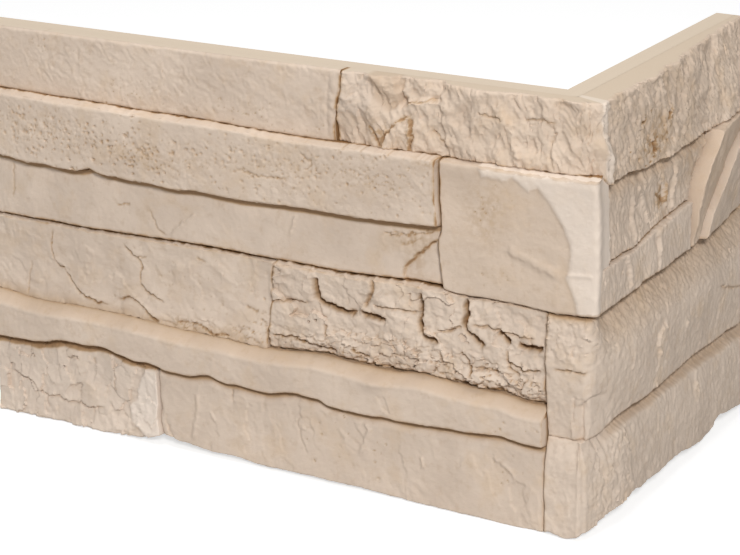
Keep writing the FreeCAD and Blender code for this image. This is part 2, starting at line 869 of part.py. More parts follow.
def build():
    """Build the backing and its stones, fuse them to one casting and write it."""
    write_sheet()
    levels = course_levels()
    pieces = [
        backing(),
        *top_and_upper_stones(levels),
        *middle_and_tall_stones(levels),
        *lower_and_ledge_stones(levels),
        *foot_stones(levels),
        rough_stone(levels),
        top_corner_stone(levels),
        *side_stones(levels),
        *shale_layers(levels),
        *column_stones(levels),
    ]
    casting = DOCUMENT.addObject("Part::MultiFuse", "cladding_corner")
    casting.Label = "cladding_corner"
    casting.Shapes = pieces
    casting.Refine = True
    DOCUMENT.recompute()
    check([*pieces, casting])
    if len(casting.Shape.Solids) != 1:
        raise RuntimeError(f"the casting has {len(casting.Shape.Solids)} solids, not one")
    os.makedirs("parts", exist_ok=True)
    casting.Shape.exportStep(f"parts/{casting.Label}.step")
    box = casting.Shape.BoundBox
    print("casting", round(casting.Shape.Volume / 1000.0, 1), "cm3")
    print("box", [round(v, 1) for v in (box.XMin, box.YMin, box.ZMin)])
    print("to", [round(v, 1) for v in (box.XMax, box.YMax, box.ZMax)])


build()
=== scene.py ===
import logging
import math
from abc import ABC, abstractmethod
from dataclasses import dataclass, field
from enum import Enum, Flag, auto

import bpy
import numpy as np
from mathutils import Matrix, Vector


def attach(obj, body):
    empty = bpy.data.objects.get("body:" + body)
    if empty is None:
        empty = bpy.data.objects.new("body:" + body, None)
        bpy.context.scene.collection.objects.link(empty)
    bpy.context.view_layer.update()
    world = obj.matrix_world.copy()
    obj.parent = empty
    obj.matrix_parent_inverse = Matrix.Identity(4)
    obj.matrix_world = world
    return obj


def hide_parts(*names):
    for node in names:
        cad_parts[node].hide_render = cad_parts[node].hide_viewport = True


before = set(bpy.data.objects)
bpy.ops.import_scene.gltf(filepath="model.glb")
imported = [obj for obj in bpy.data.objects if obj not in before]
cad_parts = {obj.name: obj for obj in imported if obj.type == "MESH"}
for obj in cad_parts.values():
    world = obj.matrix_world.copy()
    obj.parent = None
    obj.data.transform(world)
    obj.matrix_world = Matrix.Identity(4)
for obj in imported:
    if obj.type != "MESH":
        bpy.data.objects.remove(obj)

# A cast corner piece of ledge stone cladding. Sizes below are in millimetres: the long leg
# runs along -X and faces -Y, the short leg runs along +Y and faces +X. "Place" is the
# distance along a leg, "depth" the distance of a face from the back of its leg, and
# "height" is measured from a line that lies DATUM over the foot.

LOG = logging.getLogger("cladding_corner")
MM = 0.001
NODE = "cladding_corner"

DATUM = 1.0
TOP = 205.0
LONG_LEG = 325.0
SHORT_LEG = 174.0
BACKING = 10.0
JOINT = 1.1
# the ends' draft is a share of the depth, and dies out along the run
LEFT_DRAFT = 0.25
RIGHT_DRAFT = 0.05
DRAFT_RUN = 60.0
# the stones are rooted in the backing: a turning root starts to close up at the run and goes
# round the corner from the turn on
ROOT = 9.9
ROOT_RUN = 12.0
ROOT_TURN = 8.5
# how the stones' edges are worked: how many grid lines their walls have, how long the waves
# of the ragged edge, the worn radius, the grain and the streaks of dirt are, and how far
# each of the slow changes reaches
END_WALLS = 5
EDGE_WALLS = 9
RAG_WAVE = 5.0
RAG_REACH = 4.0
WORN_WAVE = 7.0
GRAIN_WAVE = 3.0
STREAK_WAVE = 6.0
CLOSING_DEPTH = 4.5
TAPER_DEPTH = 7.0
DIRT_DEPTH = 1.6
DIRT_REACH = 0.9
CORE_DEPTH = 1.2
# grid lines over a rounded edge, as shares of its radius
EDGE_STEPS = (0.0, 0.05, 0.16, 0.32, 0.55, 0.85, 1.25)
# where profiles end, beyond any face, and the angle from which an edge is sharp
FAR = 60.0
SHARP = 50.0

Line = tuple[tuple[float, float], ...]
Grid = np.ndarray

# joints between the courses of the long leg, as (place, height)
TOP_JOINT: Line = (
    (-325, 173.4), (-309.6, 173.2), (-281.9, 172.5), (-254.8, 172.4), (-228, 171.8),
    (-176, 171.4), (-151, 170.6), (-119.5, 170.2), (-93, 170.9), (-71, 171.2), (-35, 171.2),
    (0, 171.3), (11, 171.4), (20, 171.6), (31, 172.2),
)
UPPER_JOINT: Line = (
    (-325, 140.0), (-309, 139.2), (-295, 137.7), (-281, 137.9), (-272, 137.0), (-257, 138.2),
    (-252.5, 139.6), (-247, 138.0), (-233, 136.8), (-214, 136.6), (-205, 135.6), (-188, 136.6),
    (-176, 135.9), (-163, 135.6), (-142, 136.4), (-128, 136.7), (-106, 136.6), (-80, 137.4),
    (-53, 138.8),
)
MIDDLE_JOINT: Line = (
    (-325, 106.1), (-292, 106.0), (-247, 106.0), (-224, 106.5), (-203, 107.0), (-160, 107.1),
    (-138, 107.0), (-108, 106.6), (-95, 107.1), (-80, 107.9), (-55, 108.3), (-51, 108.0),
    (-37, 107.2), (-26, 107.5), (-15, 107.4), (1.3, 106.6), (7, 106.2), (14, 106.6), (29, 108.0),
)
LEDGE_TOP: Line = (
    (-325, 65.5), (-318, 65.0), (-303, 63.4), (-256, 63.8), (-221, 63.0), (-200, 61.8),
    (-181, 61.8), (-149, 60.8), (-132, 62.4), (-121, 63.4), (-99, 62.5), (-76, 62.3), (-64, 63.6),
    (-47, 62.5), (-26, 61.5), (-18, 61.6), (-9, 60.0), (4, 60.0),
)
LEDGE_FOOT: Line = (
    (-325, 41), (-310, 41.1), (-302, 41.4), (-292, 41.7), (-281, 43.9), (-274, 45.1),
    (-267, 45.3), (-259, 45.1), (-248.5, 46.2), (-243.5, 45.6), (-238.5, 44.3), (-233.5, 43.4),
    (-227, 42.0), (-219, 42.5), (-213.6, 41.6), (-208, 40.4), (-200, 40.2), (-192, 40.5),
    (-186.5, 41.9), (-180.5, 42.5), (-176.6, 41.2), (-171, 40.1), (-165, 40.6), (-153, 39.8),
    (-145, 40.0), (-137.5, 41.8), (-130, 42.9), (-124, 42.4), (-116.5, 41.9), (-113, 40.3),
    (-105, 39.5), (-97, 39.2), (-89, 39.1), (-82, 39.9), (-72, 39.6), (-57, 40.4), (-42, 41.2),
    (-34.7, 41.3), (-25.5, 42.3), (-16.5, 42.8), (-11, 42.2), (-5, 41.3), (4, 41.4),
)
FOOT: Line = (
    (-325, -1), (-317, -1), (-300, -1), (-264, -1), (-247, -0.9), (-230, 0.4), (-220, 1.7),
    (-213, 4.2), (-208, 4.8), (-203, 3.6), (-196, 3.1), (-182, 1.6), (-169, 2.0), (-157, 0.8),
    (-127, 0.7), (-97, 0.5), (-79, -0.3), (-37, -0.8), (1, -1), (5, -0.8), (7.6, 0.6), (11, -0.2),
    (17, -0.9), (20, -0.2), (26, 2.0),
)
# upright joints of the long leg, as (height, place)
TOP_SPLIT: Line = (
    (168, -111.4), (171, -111.5), (178, -111.9), (183.4, -111.7), (189.7, -110.9), (196, -109.4),
    (201.4, -108.9), (206, -109.6),
)
TALL_SPLIT: Line = (
    (104, -51.6), (107, -51.8), (114, -52.4), (123, -53.7), (132, -54.4), (136.4, -53.0),
    (145, -52.8), (152, -53.4), (161, -53.6), (174, -53.3),
)
ROUGH_SPLIT: Line = (
    (58, -150.2), (69, -150.2), (75, -149.1), (82.5, -147.8), (88, -146.6), (94.7, -147.2),
    (101, -146.7), (108, -144.6),
)
FOOT_SPLIT: Line = ((-2, -212.6), (6, -213), (12.5, -214.4), (20, -214.4), (27, -214.8), (46, -216))
COLUMN_SPLIT: Line = ((-2, 5.2), (29.5, 4.6), (46.8, 4.3), (72, 3.5), (109, 3.0))
# joints of the short leg, as (place, height)
SIDE_TOP_JOINT: Line = (
    (-16, 170.0), (-10, 166.0), (-3, 166.1), (3, 165.6), (11, 166.6), (21, 164.7), (34, 162.8),
    (41, 163.0), (50, 162.6), (75, 162.5), (99, 162.8), (114, 162.2), (128, 162.9),
    (140, 163.4), (172, 163.6),
)
SIDE_UPPER_JOINT: Line = (
    (-20, 128.4), (-3, 128.5), (12, 128.3), (16, 128.0), (45, 131.0), (53, 131.7), (62, 132.1),
    (68, 132.7), (75, 133.2), (83, 133.2), (92, 133.5),
)
SIDE_MIDDLE_JOINT: Line = (
    (-24, 107.0), (5, 107.1), (17, 107.2), (30, 108.2), (46, 108.3), (59, 108.2), (71, 108.7),
    (83, 108.3), (96, 109.0), (104, 109.8), (122, 109.0), (145, 108.4), (172, 108.0),
)
SIDE_GROOVE: Line = (
    (-16, 48.4), (-8, 50.6), (7, 52.2), (31, 51.8), (45, 52.2), (62, 51.6), (84, 51.4),
    (104, 50.4), (124, 49.2), (137, 49.0), (151, 47.6), (172, 46.6),
)
SIDE_FOOT: Line = (
    (-40, 2.2), (-29, 2.2), (-24.6, 2.4), (-20, 3.3), (-15.4, 4.7), (-10.8, 6.1), (-6.3, 6.5),
    (-1.5, 6.9), (4.6, 7.1), (8, 8.0), (11.3, 9.0), (18.3, 8.4), (20.7, 7.4), (32.4, 7.5),
    (44.4, 7.1), (56.5, 7.2), (68.9, 6.7), (81.6, 5.2), (94.5, 3.6), (103, 3.7), (107.5, 4.2),
    (112, 7.1), (116, 8.8), (120.8, 8.7), (127, 7.3), (135, 6.2), (148, 4.6), (174, 4.0),
)
# far ends of the stones beside the shale, and the ridge between the shale layers
SIDE_UPPER_END: Line = ((132, 86.5), (140, 88.6), (150, 97.0), (158, 107.5), (166, 113.0))
SIDE_MIDDLE_END: Line = ((106, 84.0), (118, 84.6), (128, 85.4), (134, 86.0))
SHALE_RIDGE: Line = (
    (106, 96.0), (113, 99.5), (117, 101.0), (123, 104.0), (128, 110.0), (134, 117.0),
    (140, 124.0), (145, 131.0), (149, 138.0), (153, 147.0), (157, 158.0), (160, 169.0),
)


def scatter(column: Grid, row: Grid, seed: int) -> Grid:
    """Repeatable values from 0 to 1, one for each pair of whole numbers.

    The numbers are multiplied by large odd ones, added, and folded onto themselves.

    Args:
        column: Whole numbers along one way.
        row: Whole numbers along the other way.
        seed: Which set of values.

    Returns:
        The values, in the shape of the input.
    """
    mixed = column.astype(np.int64) * 374761393 + row.astype(np.int64) * 668265263
    mixed = (mixed + seed * 1442695041) & 0xFFFFFFFF
    mixed = ((mixed ^ (mixed >> 13)) * 1274126177) & 0xFFFFFFFF
    return (mixed ^ (mixed >> 16)) / 4294967295.0


def ease(share: Grid) -> Grid:
    """A step from 0 to 1 with flat ends: 3 t squared minus 2 t cubed."""
    t = np.clip(share, 0.0, 1.0)
    return t * t * (3.0 - 2.0 * t)


def ripple(x: Grid, y: Grid, seed: int) -> Grid:
    """Smooth noise of about -1 to 1 with waves one unit long.

    Each whole-number point has a slope in a random direction, and the planes of the four
    nearest are blended with eased weights.

    Args:
        x: Positions one way.
        y: Positions the other way.
        seed: Which noise.

    Returns:
        The noise at each point.
    """
    left, low = np.floor(x), np.floor(y)
    dx, dy = x - left, y - low
    ease_x, ease_y = (d * d * d * (d * (d * 6.0 - 15.0) + 10.0) for d in (dx, dy))
    total = np.zeros_like(dx)
    for i in (0, 1):
        for j in (0, 1):
            angle = 2.0 * math.pi * scatter(left + i, low + j, seed)
            plane = np.cos(angle) * (dx - i) + np.sin(angle) * (dy - j)
            weight = (ease_x if i else 1.0 - ease_x) * (ease_y if j else 1.0 - ease_y)
            total += weight * plane
    return total * 1.5


def layered(x: Grid, y: Grid, seed: int, octaves: int, gain: float = 0.5) -> Grid:
    """The sum of several ripples, each twice as fine as the last and gain times as strong.

    Args:
        x: Positions one way.
        y: Positions the other way.
        seed: Which noise.
        octaves: How many ripples.
        gain: The strength of each beside the one before.

    Returns:
        The noise at each point.
    """
    total, strength = np.zeros(np.broadcast(x, y).shape), 1.0
    for octave in range(octaves):
        total += strength * ripple(x * 2.0**octave, y * 2.0**octave, seed + 17 * octave)
        strength *= gain
    return total


def flow(line: Line, at: Grid) -> Grid:
    """The value of a line at the given places: a smooth curve through its points.

    Between two points it is the cubic that has, at each of them, a slope between those of
    the line's two sides, and it is level beyond its ends.

    Args:
        line: The points, in rising order.
        at: Where the value is wanted.

    Returns:
        The value at each place.
    """
    xs, ys = (np.array(v, float) for v in zip(*line))
    slopes = np.gradient(ys, xs)
    held = np.clip(at, xs[0], xs[-1])
    i = np.clip(np.searchsorted(xs, held, side="right") - 1, 0, len(xs) - 2)
    run = xs[i + 1] - xs[i]
    t = (held - xs[i]) / run
    return (
        (2 * t**3 - 3 * t**2 + 1) * ys[i]
        + (t**3 - 2 * t**2 + t) * run * slopes[i]
        + (3 * t**2 - 2 * t**3) * ys[i + 1]
        + (t**3 - t**2) * run * slopes[i + 1]
    )


def beside(line: Line, place: Grid, height: Grid) -> tuple[Grid, Grid, Grid]:
    """How far points are from a broken line, on which side, and how far along it.

    Args:
        line: Corners of the line, as (place, height).
        place: Places of the points.
        height: Heights of the points.

    Returns:
        The distance, the side (1 on the left going along, -1 on the right), and the share of
        the length from 0 to 1.
    """
    corners = np.array(line, float)
    legs = np.diff(corners, axis=0)
    lengths = np.hypot(legs[:, 0], legs[:, 1])
    starts = np.concatenate([[0.0], np.cumsum(lengths)])
    nearest = np.full(place.shape, np.inf)
    side, along = np.ones_like(place), np.zeros_like(place)
    for k, (leg, length) in enumerate(zip(legs, lengths)):
        dx, dz = place - corners[k, 0], height - corners[k, 1]
        share = np.clip((dx * leg[0] + dz * leg[1]) / length**2, 0.0, 1.0)
        gap = np.hypot(dx - share * leg[0], dz - share * leg[1])
        closer = gap < nearest
        nearest = np.where(closer, gap, nearest)
        side = np.where(closer, np.where(leg[0] * dz - leg[1] * dx >= 0.0, 1.0, -1.0), side)
        along = np.where(closer, (starts[k] + share * length) / starts[-1], along)
    return nearest, side, along


def inside(outline: Line, place: Grid, height: Grid) -> Grid:
    """The distance of points from a closed outline, positive inside and negative outside.

    Args:
        outline: Corners of the outline, as (place, height).
        place: Places of the points.
        height: Heights of the points.

    Returns:
        The distance of each point.
    """
    closed = (*outline, outline[0])
    gap, _, _ = beside(closed, place, height)
    within = np.zeros(place.shape, bool)
    for (x0, z0), (x1, z1) in zip(closed, closed[1:]):
        if z0 == z1:
            continue
        crosses = (z0 > height) != (z1 > height)
        within ^= crosses & (place < x0 + (height - z0) * (x1 - x0) / (z1 - z0))
    return np.where(within, gap, -gap)


def cells(x: Grid, y: Grid, seed: int) -> tuple[Grid, Grid, Grid, Grid, Grid, Grid]:
    """The nearest of points scattered one to each unit square.

    Args:
        x: Positions one way.
        y: Positions the other way.
        seed: Which set of points.

    Returns:
        The distances to the nearest and the next point, the offsets from the nearest, and its
        column and row.
    """
    left, low = np.floor(x), np.floor(y)
    best = np.full(x.shape, np.inf)
    second = best.copy()
    off_x, off_y, column, row = (np.zeros(x.shape) for _ in range(4))
    for i in (-1, 0, 1):
        for j in (-1, 0, 1):
            dx = x - (left + i + 0.1 + 0.8 * scatter(left + i, low + j, seed))
            dy = y - (low + j + 0.1 + 0.8 * scatter(left + i, low + j, seed + 1))
            gap = np.hypot(dx, dy)
            closer = gap < best
            second = np.where(closer, best, np.minimum(second, gap))
            best = np.where(closer, gap, best)
            off_x, off_y = np.where(closer, dx, off_x), np.where(closer, dy, off_y)
            column, row = np.where(closer, left + i, column), np.where(closer, low + j, row)
    return best, second, off_x, off_y, column, row


def turned(x: Grid, y: Grid, degrees: float) -> tuple[Grid, Grid]:
    """Distances along and across a direction that is turned from x towards y."""
    sine, cosine = math.sin(math.radians(degrees)), math.cos(math.radians(degrees))
    return x * cosine + y * sine, y * cosine - x * sine


def bell(x: Grid, y: Grid, radii: tuple[float, float]) -> Grid:
    """One in the middle of an oval, less with the square of the distance over its radii."""
    return np.exp(-((x / radii[0]) ** 2) - (y / radii[1]) ** 2)


@dataclass
class Surface:
    """The face of one stone while it is worked: places, heights, depths and staining, where
    the staining also holds painted shade and painted highlights.
    """

    place: Grid
    height: Grid
    from_foot: Grid
    from_top: Grid
    depth: Grid
    stain: Grid


class Mark(ABC):
    """Something that changes the face of a stone."""

    @abstractmethod
    def carve(self, face: Surface) -> None:
        """Change the depth and the staining of a face in place."""


@dataclass(frozen=True)
class Unevenness(Mark):
    """Gentle noise all over: a sum of ripples, stretched and turned."""

    rise: float
    pitch: float
    seed: int
    stretch: float = 1.0
    turn: float = 0.0
    octaves: int = 4
    gain: float = 0.5
    fade_down: tuple[float, float] = ()
    bend: float = 1.0
    patches: float = 0.0

    def carve(self, face: Surface) -> None:
        """Add the ripples: rise times noise of places and heights over the pitch.

        Bend leads the waves astray. With patches the ripples gather in patches about that
        long, and with fade_down they fade out between those two distances from the top.

        Args:
            face: The face that is worked.
        """
        along, across = turned(face.place, face.height, self.turn)
        x, y = along / (self.pitch * self.stretch), across / self.pitch
        bend = self.bend * layered(x * 0.4, y * 0.4, self.seed + 301, 2)
        noise = layered(x + bend, y - bend, self.seed, self.octaves, self.gain)
        if self.patches:
            noise = noise * ease(0.55 + 0.9 * layered(
                face.place / self.patches, face.height / (0.5 * self.patches), self.seed + 401, 2
            ))
        if self.fade_down:
            near, far = self.fade_down
            noise = noise * (1.0 - ease((face.from_top - near) / (far - near)))
        face.depth += self.rise * noise


@dataclass(frozen=True)
class Ridges(Mark):
    """Wandering ridges with scooped hollows between them, as on split stone."""

    rise: float
    pitch: float
    seed: int
    stretch: float = 1.0
    turn: float = 0.0
    octaves: int = 3
    gain: float = 0.5
    span: tuple[float, float] = ()
    fade: float = 8.0

    def carve(self, face: Surface) -> None:
        """Add rise times one less four times the size of each ripple, octave on octave.

        With a span they lie between those two places and die out within the fade of each.

        Args:
            face: The face that is worked.
        """
        along, across = turned(face.place, face.height, self.turn)
        x, y = along / (self.pitch * self.stretch), across / self.pitch
        bend = 0.6 * layered(x * 0.5, y * 0.5, self.seed + 301, 2)
        total, strength = np.zeros_like(x), 1.0
        for octave in range(self.octaves):
            finer = 2.0**octave
            noise = ripple((x + bend) * finer, (y - bend) * finer, self.seed + 17 * octave)
            total += strength * (1.0 - 4.0 * np.sqrt(noise**2 + 0.004))
            strength *= self.gain
        if self.span:
            start, end = self.span
            total *= ease((face.place - start) / self.fade) * ease((end - face.place) / self.fade)
        face.depth += self.rise * total


@dataclass(frozen=True)
class Crack(Mark):
    """A wandering groove along a line, deepest on the line, fading at its ends.

    A negative depth makes a raised vein. The lip lifts the side on the left of the line.
    """

    line: Line
    depth: float = 1.2
    width: float = 0.8
    lip: float = 0.0
    stain: float = 0.7
    wander: float = 0.7
    tails: float = 0.12
    wave: float = 3.2
    cell: float = 2.5

    def carve(self, face: Surface) -> None:
        """Lower the face by depth times a bell of the distance from the wandering line.

        Args:
            face: The face that is worked.
        """
        seed = int(abs(self.line[0][0] * 7 + self.line[0][1] * 3)) + 5
        x, y = face.place / self.wave, face.height / self.wave
        shift_x = self.wander * layered(x, y, seed, 3, 0.6)
        shift_z = self.wander * layered(x, y, seed + 9, 3, 0.6)
        gap, side, along = beside(self.line, face.place + shift_x, face.height + shift_z)
        ends = ease(np.minimum(along, 1.0 - along) / self.tails + 0.15)
        column, row = np.round(face.place / self.cell), np.round(face.height / self.cell)
        uneven = 0.75 + 0.5 * scatter(column, row, seed)
        groove = np.exp(-((gap / self.width) ** 2)) * ends
        face.depth -= self.depth * groove * (0.8 + 0.2 * uneven)
        if self.lip:
            fade = np.exp(-gap / (4.0 * self.width)) * ends
            rising = 1.0 - np.exp(-((gap / (0.7 * self.width)) ** 2))
            face.depth += self.lip * fade * side * rising
        face.stain += self.stain * np.exp(-((gap / (1.15 * self.width)) ** 2)) * ends


def vein(line: Line, rise: float, width: float, **look: float) -> Crack:
    """A raised vein along a line: a crack turned outwards, without a stain."""
    return Crack(line, -rise, width, stain=0.0, **look)


def cracks(lines: tuple[Line, ...], depth: float, width: float, **look: float) -> list[Crack]:
    """Cracks of one look along several lines."""
    return [Crack(line, depth, width, **look) for line in lines]


def veins(lines: tuple[Line, ...], rise: float, width: float, **look: float) -> list[Crack]:
    """Raised veins of one look along several lines."""
    return [vein(line, rise, width, **look) for line in lines]


@dataclass(frozen=True)
class Flake(Mark):
    """A patch that stands proud or is broken away, with a crisp rim.

    Inside the outline the face moves by rise, over a bevel wide at the rim. With a fade, the
    step dies away with the distance from the rim.
    """

    outline: Line
    rise: float
    bevel: float = 1.0
    fade: float = 0.0
    wander: float = 0.6
    stain: float = 0.0
    # tint inside the outline: below nought it is paler, which on lit strips paints a highlight
    tint_and_painted_highlight: float = 0.0
    tilt: tuple[float, float] = (0.0, 0.0)
    wave: float = 4.0
    shade_rim: float = 1.2

    def carve(self, face: Surface) -> None:
        """Move the face by rise times an eased step of the distance inside the rim.

        Tilt adds slopes along the place and the height, about the middle of the outline. The
        rim is stained by its stain value and all inside it by its tint, where less than nought
        is paler: on the lit strips at the corner that paler tint is a painted highlight.

        Args:
            face: The face that is worked.
        """
        seed = int(abs(self.outline[0][0] * 5 + self.outline[0][1] * 11)) + 3
        x, y = face.place / self.wave, face.height / self.wave
        shift = self.wander * layered(x, y, seed, 3, 0.6)
        gap = inside(self.outline, face.place + shift, face.height - shift)
        step = ease(gap / self.bevel + 0.5)
        face.stain += self.tint_and_painted_highlight * ease(gap / self.shade_rim + 0.5)
        if self.fade:
            step = step * np.exp(-np.maximum(gap, 0.0) / self.fade)
        middle = np.mean(self.outline, axis=0)
        slope = self.tilt[0] * (face.place - middle[0]) + self.tilt[1] * (face.height - middle[1])
        face.depth += (self.rise + slope) * step
        face.stain += self.stain * np.exp(-((gap / (0.8 * self.bevel)) ** 2))


@dataclass(frozen=True)
class Hollow(Mark):
    """A round dent or, with a negative depth, a swelling: a bell over an oval."""

    centre: tuple[float, float]
    radii: tuple[float, float]
    depth: float
    turn: float = 0.0

    def carve(self, face: Surface) -> None:
        """Lower the face by depth times a bell of the distance over the radii."""
        dx, dz = face.place - self.centre[0], face.height - self.centre[1]
        face.depth -= self.depth * bell(*turned(dx, dz, self.turn), self.radii)


@dataclass(frozen=True)
class Pits(Mark):
    """Small holes scattered over an oval patch, one at most to each cell of the pitch."""

    centre: tuple[float, float]
    radii: tuple[float, float]
    pitch: float = 2.4
    size: float = 0.55
    depth: float = 0.9
    share: float = 0.5
    seed: int = 1
    stain: float = 0.5

    def carve(self, face: Surface) -> None:
        """Lower the face round each chosen point by depth times a bell of the distance.

        Args:
            face: The face that is worked.
        """
        x, y = face.place / self.pitch, face.height / self.pitch
        bend = 0.22 * layered(x * 1.7, y * 1.7, self.seed + 50, 3, 0.7)
        gap, _, _, _, column, row = cells(x + bend, (y - bend) * 1.25, self.seed)
        patch = bell(face.place - self.centre[0], face.height - self.centre[1], self.radii)
        chosen = scatter(column, row, self.seed + 7) < self.share * patch
        strength = 0.3 + 0.7 * scatter(column, row, self.seed + 8) ** 2
        hole = np.exp(-((gap * self.pitch / (self.size * strength)) ** 2)) * chosen
        face.depth -= self.depth * strength * hole
        face.stain += self.stain * hole


@dataclass(frozen=True)
class Facets(Mark):
    """A broken face: tilted flat facets, one about each scattered point.

    Each facet is a plane with its own height and slopes, and a crack may follow the edges
    between them.
    """

    rise: float
    pitch: float
    seed: int
    stretch: float = 1.0
    turn: float = 0.0
    tilt: float = 0.8
    crack: float = 0.0
    crack_width: float = 0.08
    warp: float = 0.25
    patch: tuple[float, float, float, float] = ()
    stain: float = 0.0

    def carve(self, face: Surface) -> None:
        """Add rise times (height + slopes times offsets) of the nearest facet.

        Args:
            face: The face that is worked.
        """
        along, across = turned(face.place, face.height, self.turn)
        x, y = along / (self.pitch * self.stretch), across / self.pitch
        warp_x = self.warp * layered(x * 1.3, y * 1.3, self.seed + 30, 3, 0.6)
        warp_y = self.warp * layered(x * 1.3, y * 1.3, self.seed + 40, 3, 0.6)
        best, second, off_x, off_y, column, row = cells(x + warp_x, y + warp_y, self.seed)
        level = 2.0 * scatter(column, row, self.seed + 2) - 1.0
        slope_x = 2.0 * scatter(column, row, self.seed + 3) - 1.0
        slope_y = 2.0 * scatter(column, row, self.seed + 4) - 1.0
        plane = 0.6 * level + self.tilt * (slope_x * off_x + slope_y * off_y)
        edge = np.exp(-(((second - best) / self.crack_width) ** 2))
        reach = np.ones_like(plane)
        if self.patch:
            cx, cz, rx, rz = self.patch
            reach = ease(1.6 - np.hypot((face.place - cx) / rx, (face.height - cz) / rz))
        opened = scatter(column, row, self.seed + 5)
        face.depth += reach * (self.rise * plane - self.crack * edge * opened)
        face.stain += reach * self.stain * edge * opened


@dataclass(frozen=True)
class Slope(Mark):
    """A slope along the top or the foot: the change of depth at distances from that edge."""

    profile: Line
    from_top: bool = True
    stain: Line = ()
    wander: float = 0.5
    wave: float = 9.0
    seed: int = 77

    def carve(self, face: Surface) -> None:
        """Add the profile's value at the distance from the edge, a little uneven.

        Args:
            face: The face that is worked.
        """
        gap = face.from_top if self.from_top else face.from_foot
        x, y = face.place / self.wave, face.height / self.wave
        gap = gap + self.wander * layered(x, y, self.seed, 3)
        face.depth += flow(self.profile, gap)
        if self.stain:
            face.stain += np.clip(flow(self.stain, gap), 0.0, 1.0)


@dataclass(frozen=True)
class Tilt(Mark):
    """A plane that leans back beyond a line: the line goes through a point and climbs."""

    start: tuple[float, float]
    climb: float
    slope: float

    def carve(self, face: Surface) -> None:
        """Lower the face by slope times the distance below and beyond the line.

        Args:
            face: The face that is worked.
        """
        climb = math.radians(self.climb)
        beyond = (face.place - self.start[0]) * math.sin(climb)
        beyond = beyond - (face.height - self.start[1]) * math.cos(climb)
        face.depth -= self.slope * beyond


@dataclass(frozen=True)
class Lean(Mark):
    """A face that leans back towards its top by a line's value at each place."""

    line: Line

    def carve(self, face: Surface) -> None:
        """Lower the face by the line's value times the share of the height."""
        share = face.from_foot / np.maximum(face.from_foot + face.from_top, 1.0)
        face.depth -= flow(self.line, face.place) * share


@dataclass(frozen=True)
class Shoulder(Mark):
    """A sloping shoulder along the top that grows from nothing between two places."""

    profile: Line
    grows: tuple[float, float]
    stain: Line = ()
    wander: float = 0.9
    wave: float = 7.0
    seed: int = 79

    def carve(self, face: Surface) -> None:
        """Add the profile's value at the distance from the top, times the share grown.

        Args:
            face: The face that is worked.
        """
        noise = layered(face.place / self.wave, face.height / self.wave, self.seed, 4, 0.6)
        share = ease((face.place - self.grows[0]) / (self.grows[1] - self.grows[0]))
        gap = face.from_top + self.wander * noise
        face.depth += flow(self.profile, gap) * share
        if self.stain:
            face.stain += np.clip(flow(self.stain, gap), 0.0, 1.0) * share


@dataclass(frozen=True)
class Swing(Mark):
    """A slow change of depth along the leg: the line's value at each place."""

    line: Line

    def carve(self, face: Surface) -> None:
        """Add the line's value at the place."""
        face.depth += flow(self.line, face.place)


@dataclass(frozen=True)
class Stain(Mark):
    """A stained patch: a bell over an oval, broken up by noise."""

    centre: tuple[float, float]
    radii: tuple[float, float]
    strength: float
    seed: int = 5
    wave: float = 4.0

    def carve(self, face: Surface) -> None:
        """Add strength times the bell times eased noise.

        Args:
            face: The face that is worked.
        """
        patch = bell(face.place - self.centre[0], face.height - self.centre[1], self.radii)
        noise = layered(face.place / self.wave, face.height / self.wave, self.seed, 4, 0.65)
        face.stain += self.strength * patch * ease(0.55 + noise)


@dataclass(frozen=True)
class Turn:
    """How a stone turns round the outside corner.

    Its face runs along the long leg, round an arris of the given radius, and on down the
    short leg. "Out" is its depth on each leg where the arris begins.
    """

    out_long: float
    out_short: float
    arris: float

    @property
    def start(self) -> float:
        """Where the arris begins, as a place on the long leg."""
        return self.out_short - self.arris

    @property
    def shift(self) -> float:
        """What is added to a place on the short leg to give the place along the face."""
        return self.start + self.arris * math.pi / 2.0 + self.out_long - self.arris

    def lay(self, place: Grid) -> tuple[Grid, Grid, Grid]:
        """Where places along the face lie.

        Args:
            place: Places along the face.

        Returns:
            The plan points at depth nought, the outward directions, and the plan points at
            the root.
        """
        angle = np.clip((place - self.start) / self.arris, 0.0, math.pi / 2.0)
        out = np.stack([np.sin(angle), -np.cos(angle)], axis=-1)
        share = angle / (math.pi / 2.0)
        nominal = self.out_long + (self.out_short - self.out_long) * share
        centre = np.array([self.start, -(self.out_long - self.arris)])
        base = centre + out * (self.arris - nominal)[..., None]
        base[..., 0] += np.minimum(place - self.start, 0.0)
        base[..., 1] += np.maximum(place - self.shift - centre[1], 0.0)
        root = base + out * ROOT
        on_long, on_short = place < self.start, place > self.shift + centre[1]
        middle = ~on_long & ~on_short
        side = place - self.shift
        span = ROOT_RUN + ROOT_TURN
        closing = np.clip((place + ROOT_RUN) / (self.start + ROOT_RUN), 0.0, 1.0)
        opening = np.clip((side - centre[1]) / (ROOT_RUN - centre[1]), 0.0, 1.0)
        round_x = ROOT_TURN + (ROOT - ROOT_TURN) * np.sin(angle)
        round_y = -ROOT_TURN - (ROOT - ROOT_TURN) * np.cos(angle)
        near = on_long & (place > -ROOT_RUN)
        x = np.where(near, -ROOT_RUN + span * closing, root[..., 0])
        x = np.where(middle, round_x, np.where(on_short, ROOT, x))
        near = on_short & (side < ROOT_RUN)
        y = np.where(near, -ROOT_TURN + span * opening, root[..., 1])
        y = np.where(middle, round_y, np.where(on_long, -ROOT, y))
        root[..., 0], root[..., 1] = x, y
        return base, out, root


class Leg(Enum):
    """Which leg a stone lies on."""

    LONG = "long"
    SHORT = "short"
    BOTH = "both"


class Edge(Flag):
    """The four edges of a stone, in the order in which it keeps their values."""

    FOOT = auto()
    TOP = auto()
    LEFT = auto()
    RIGHT = auto()


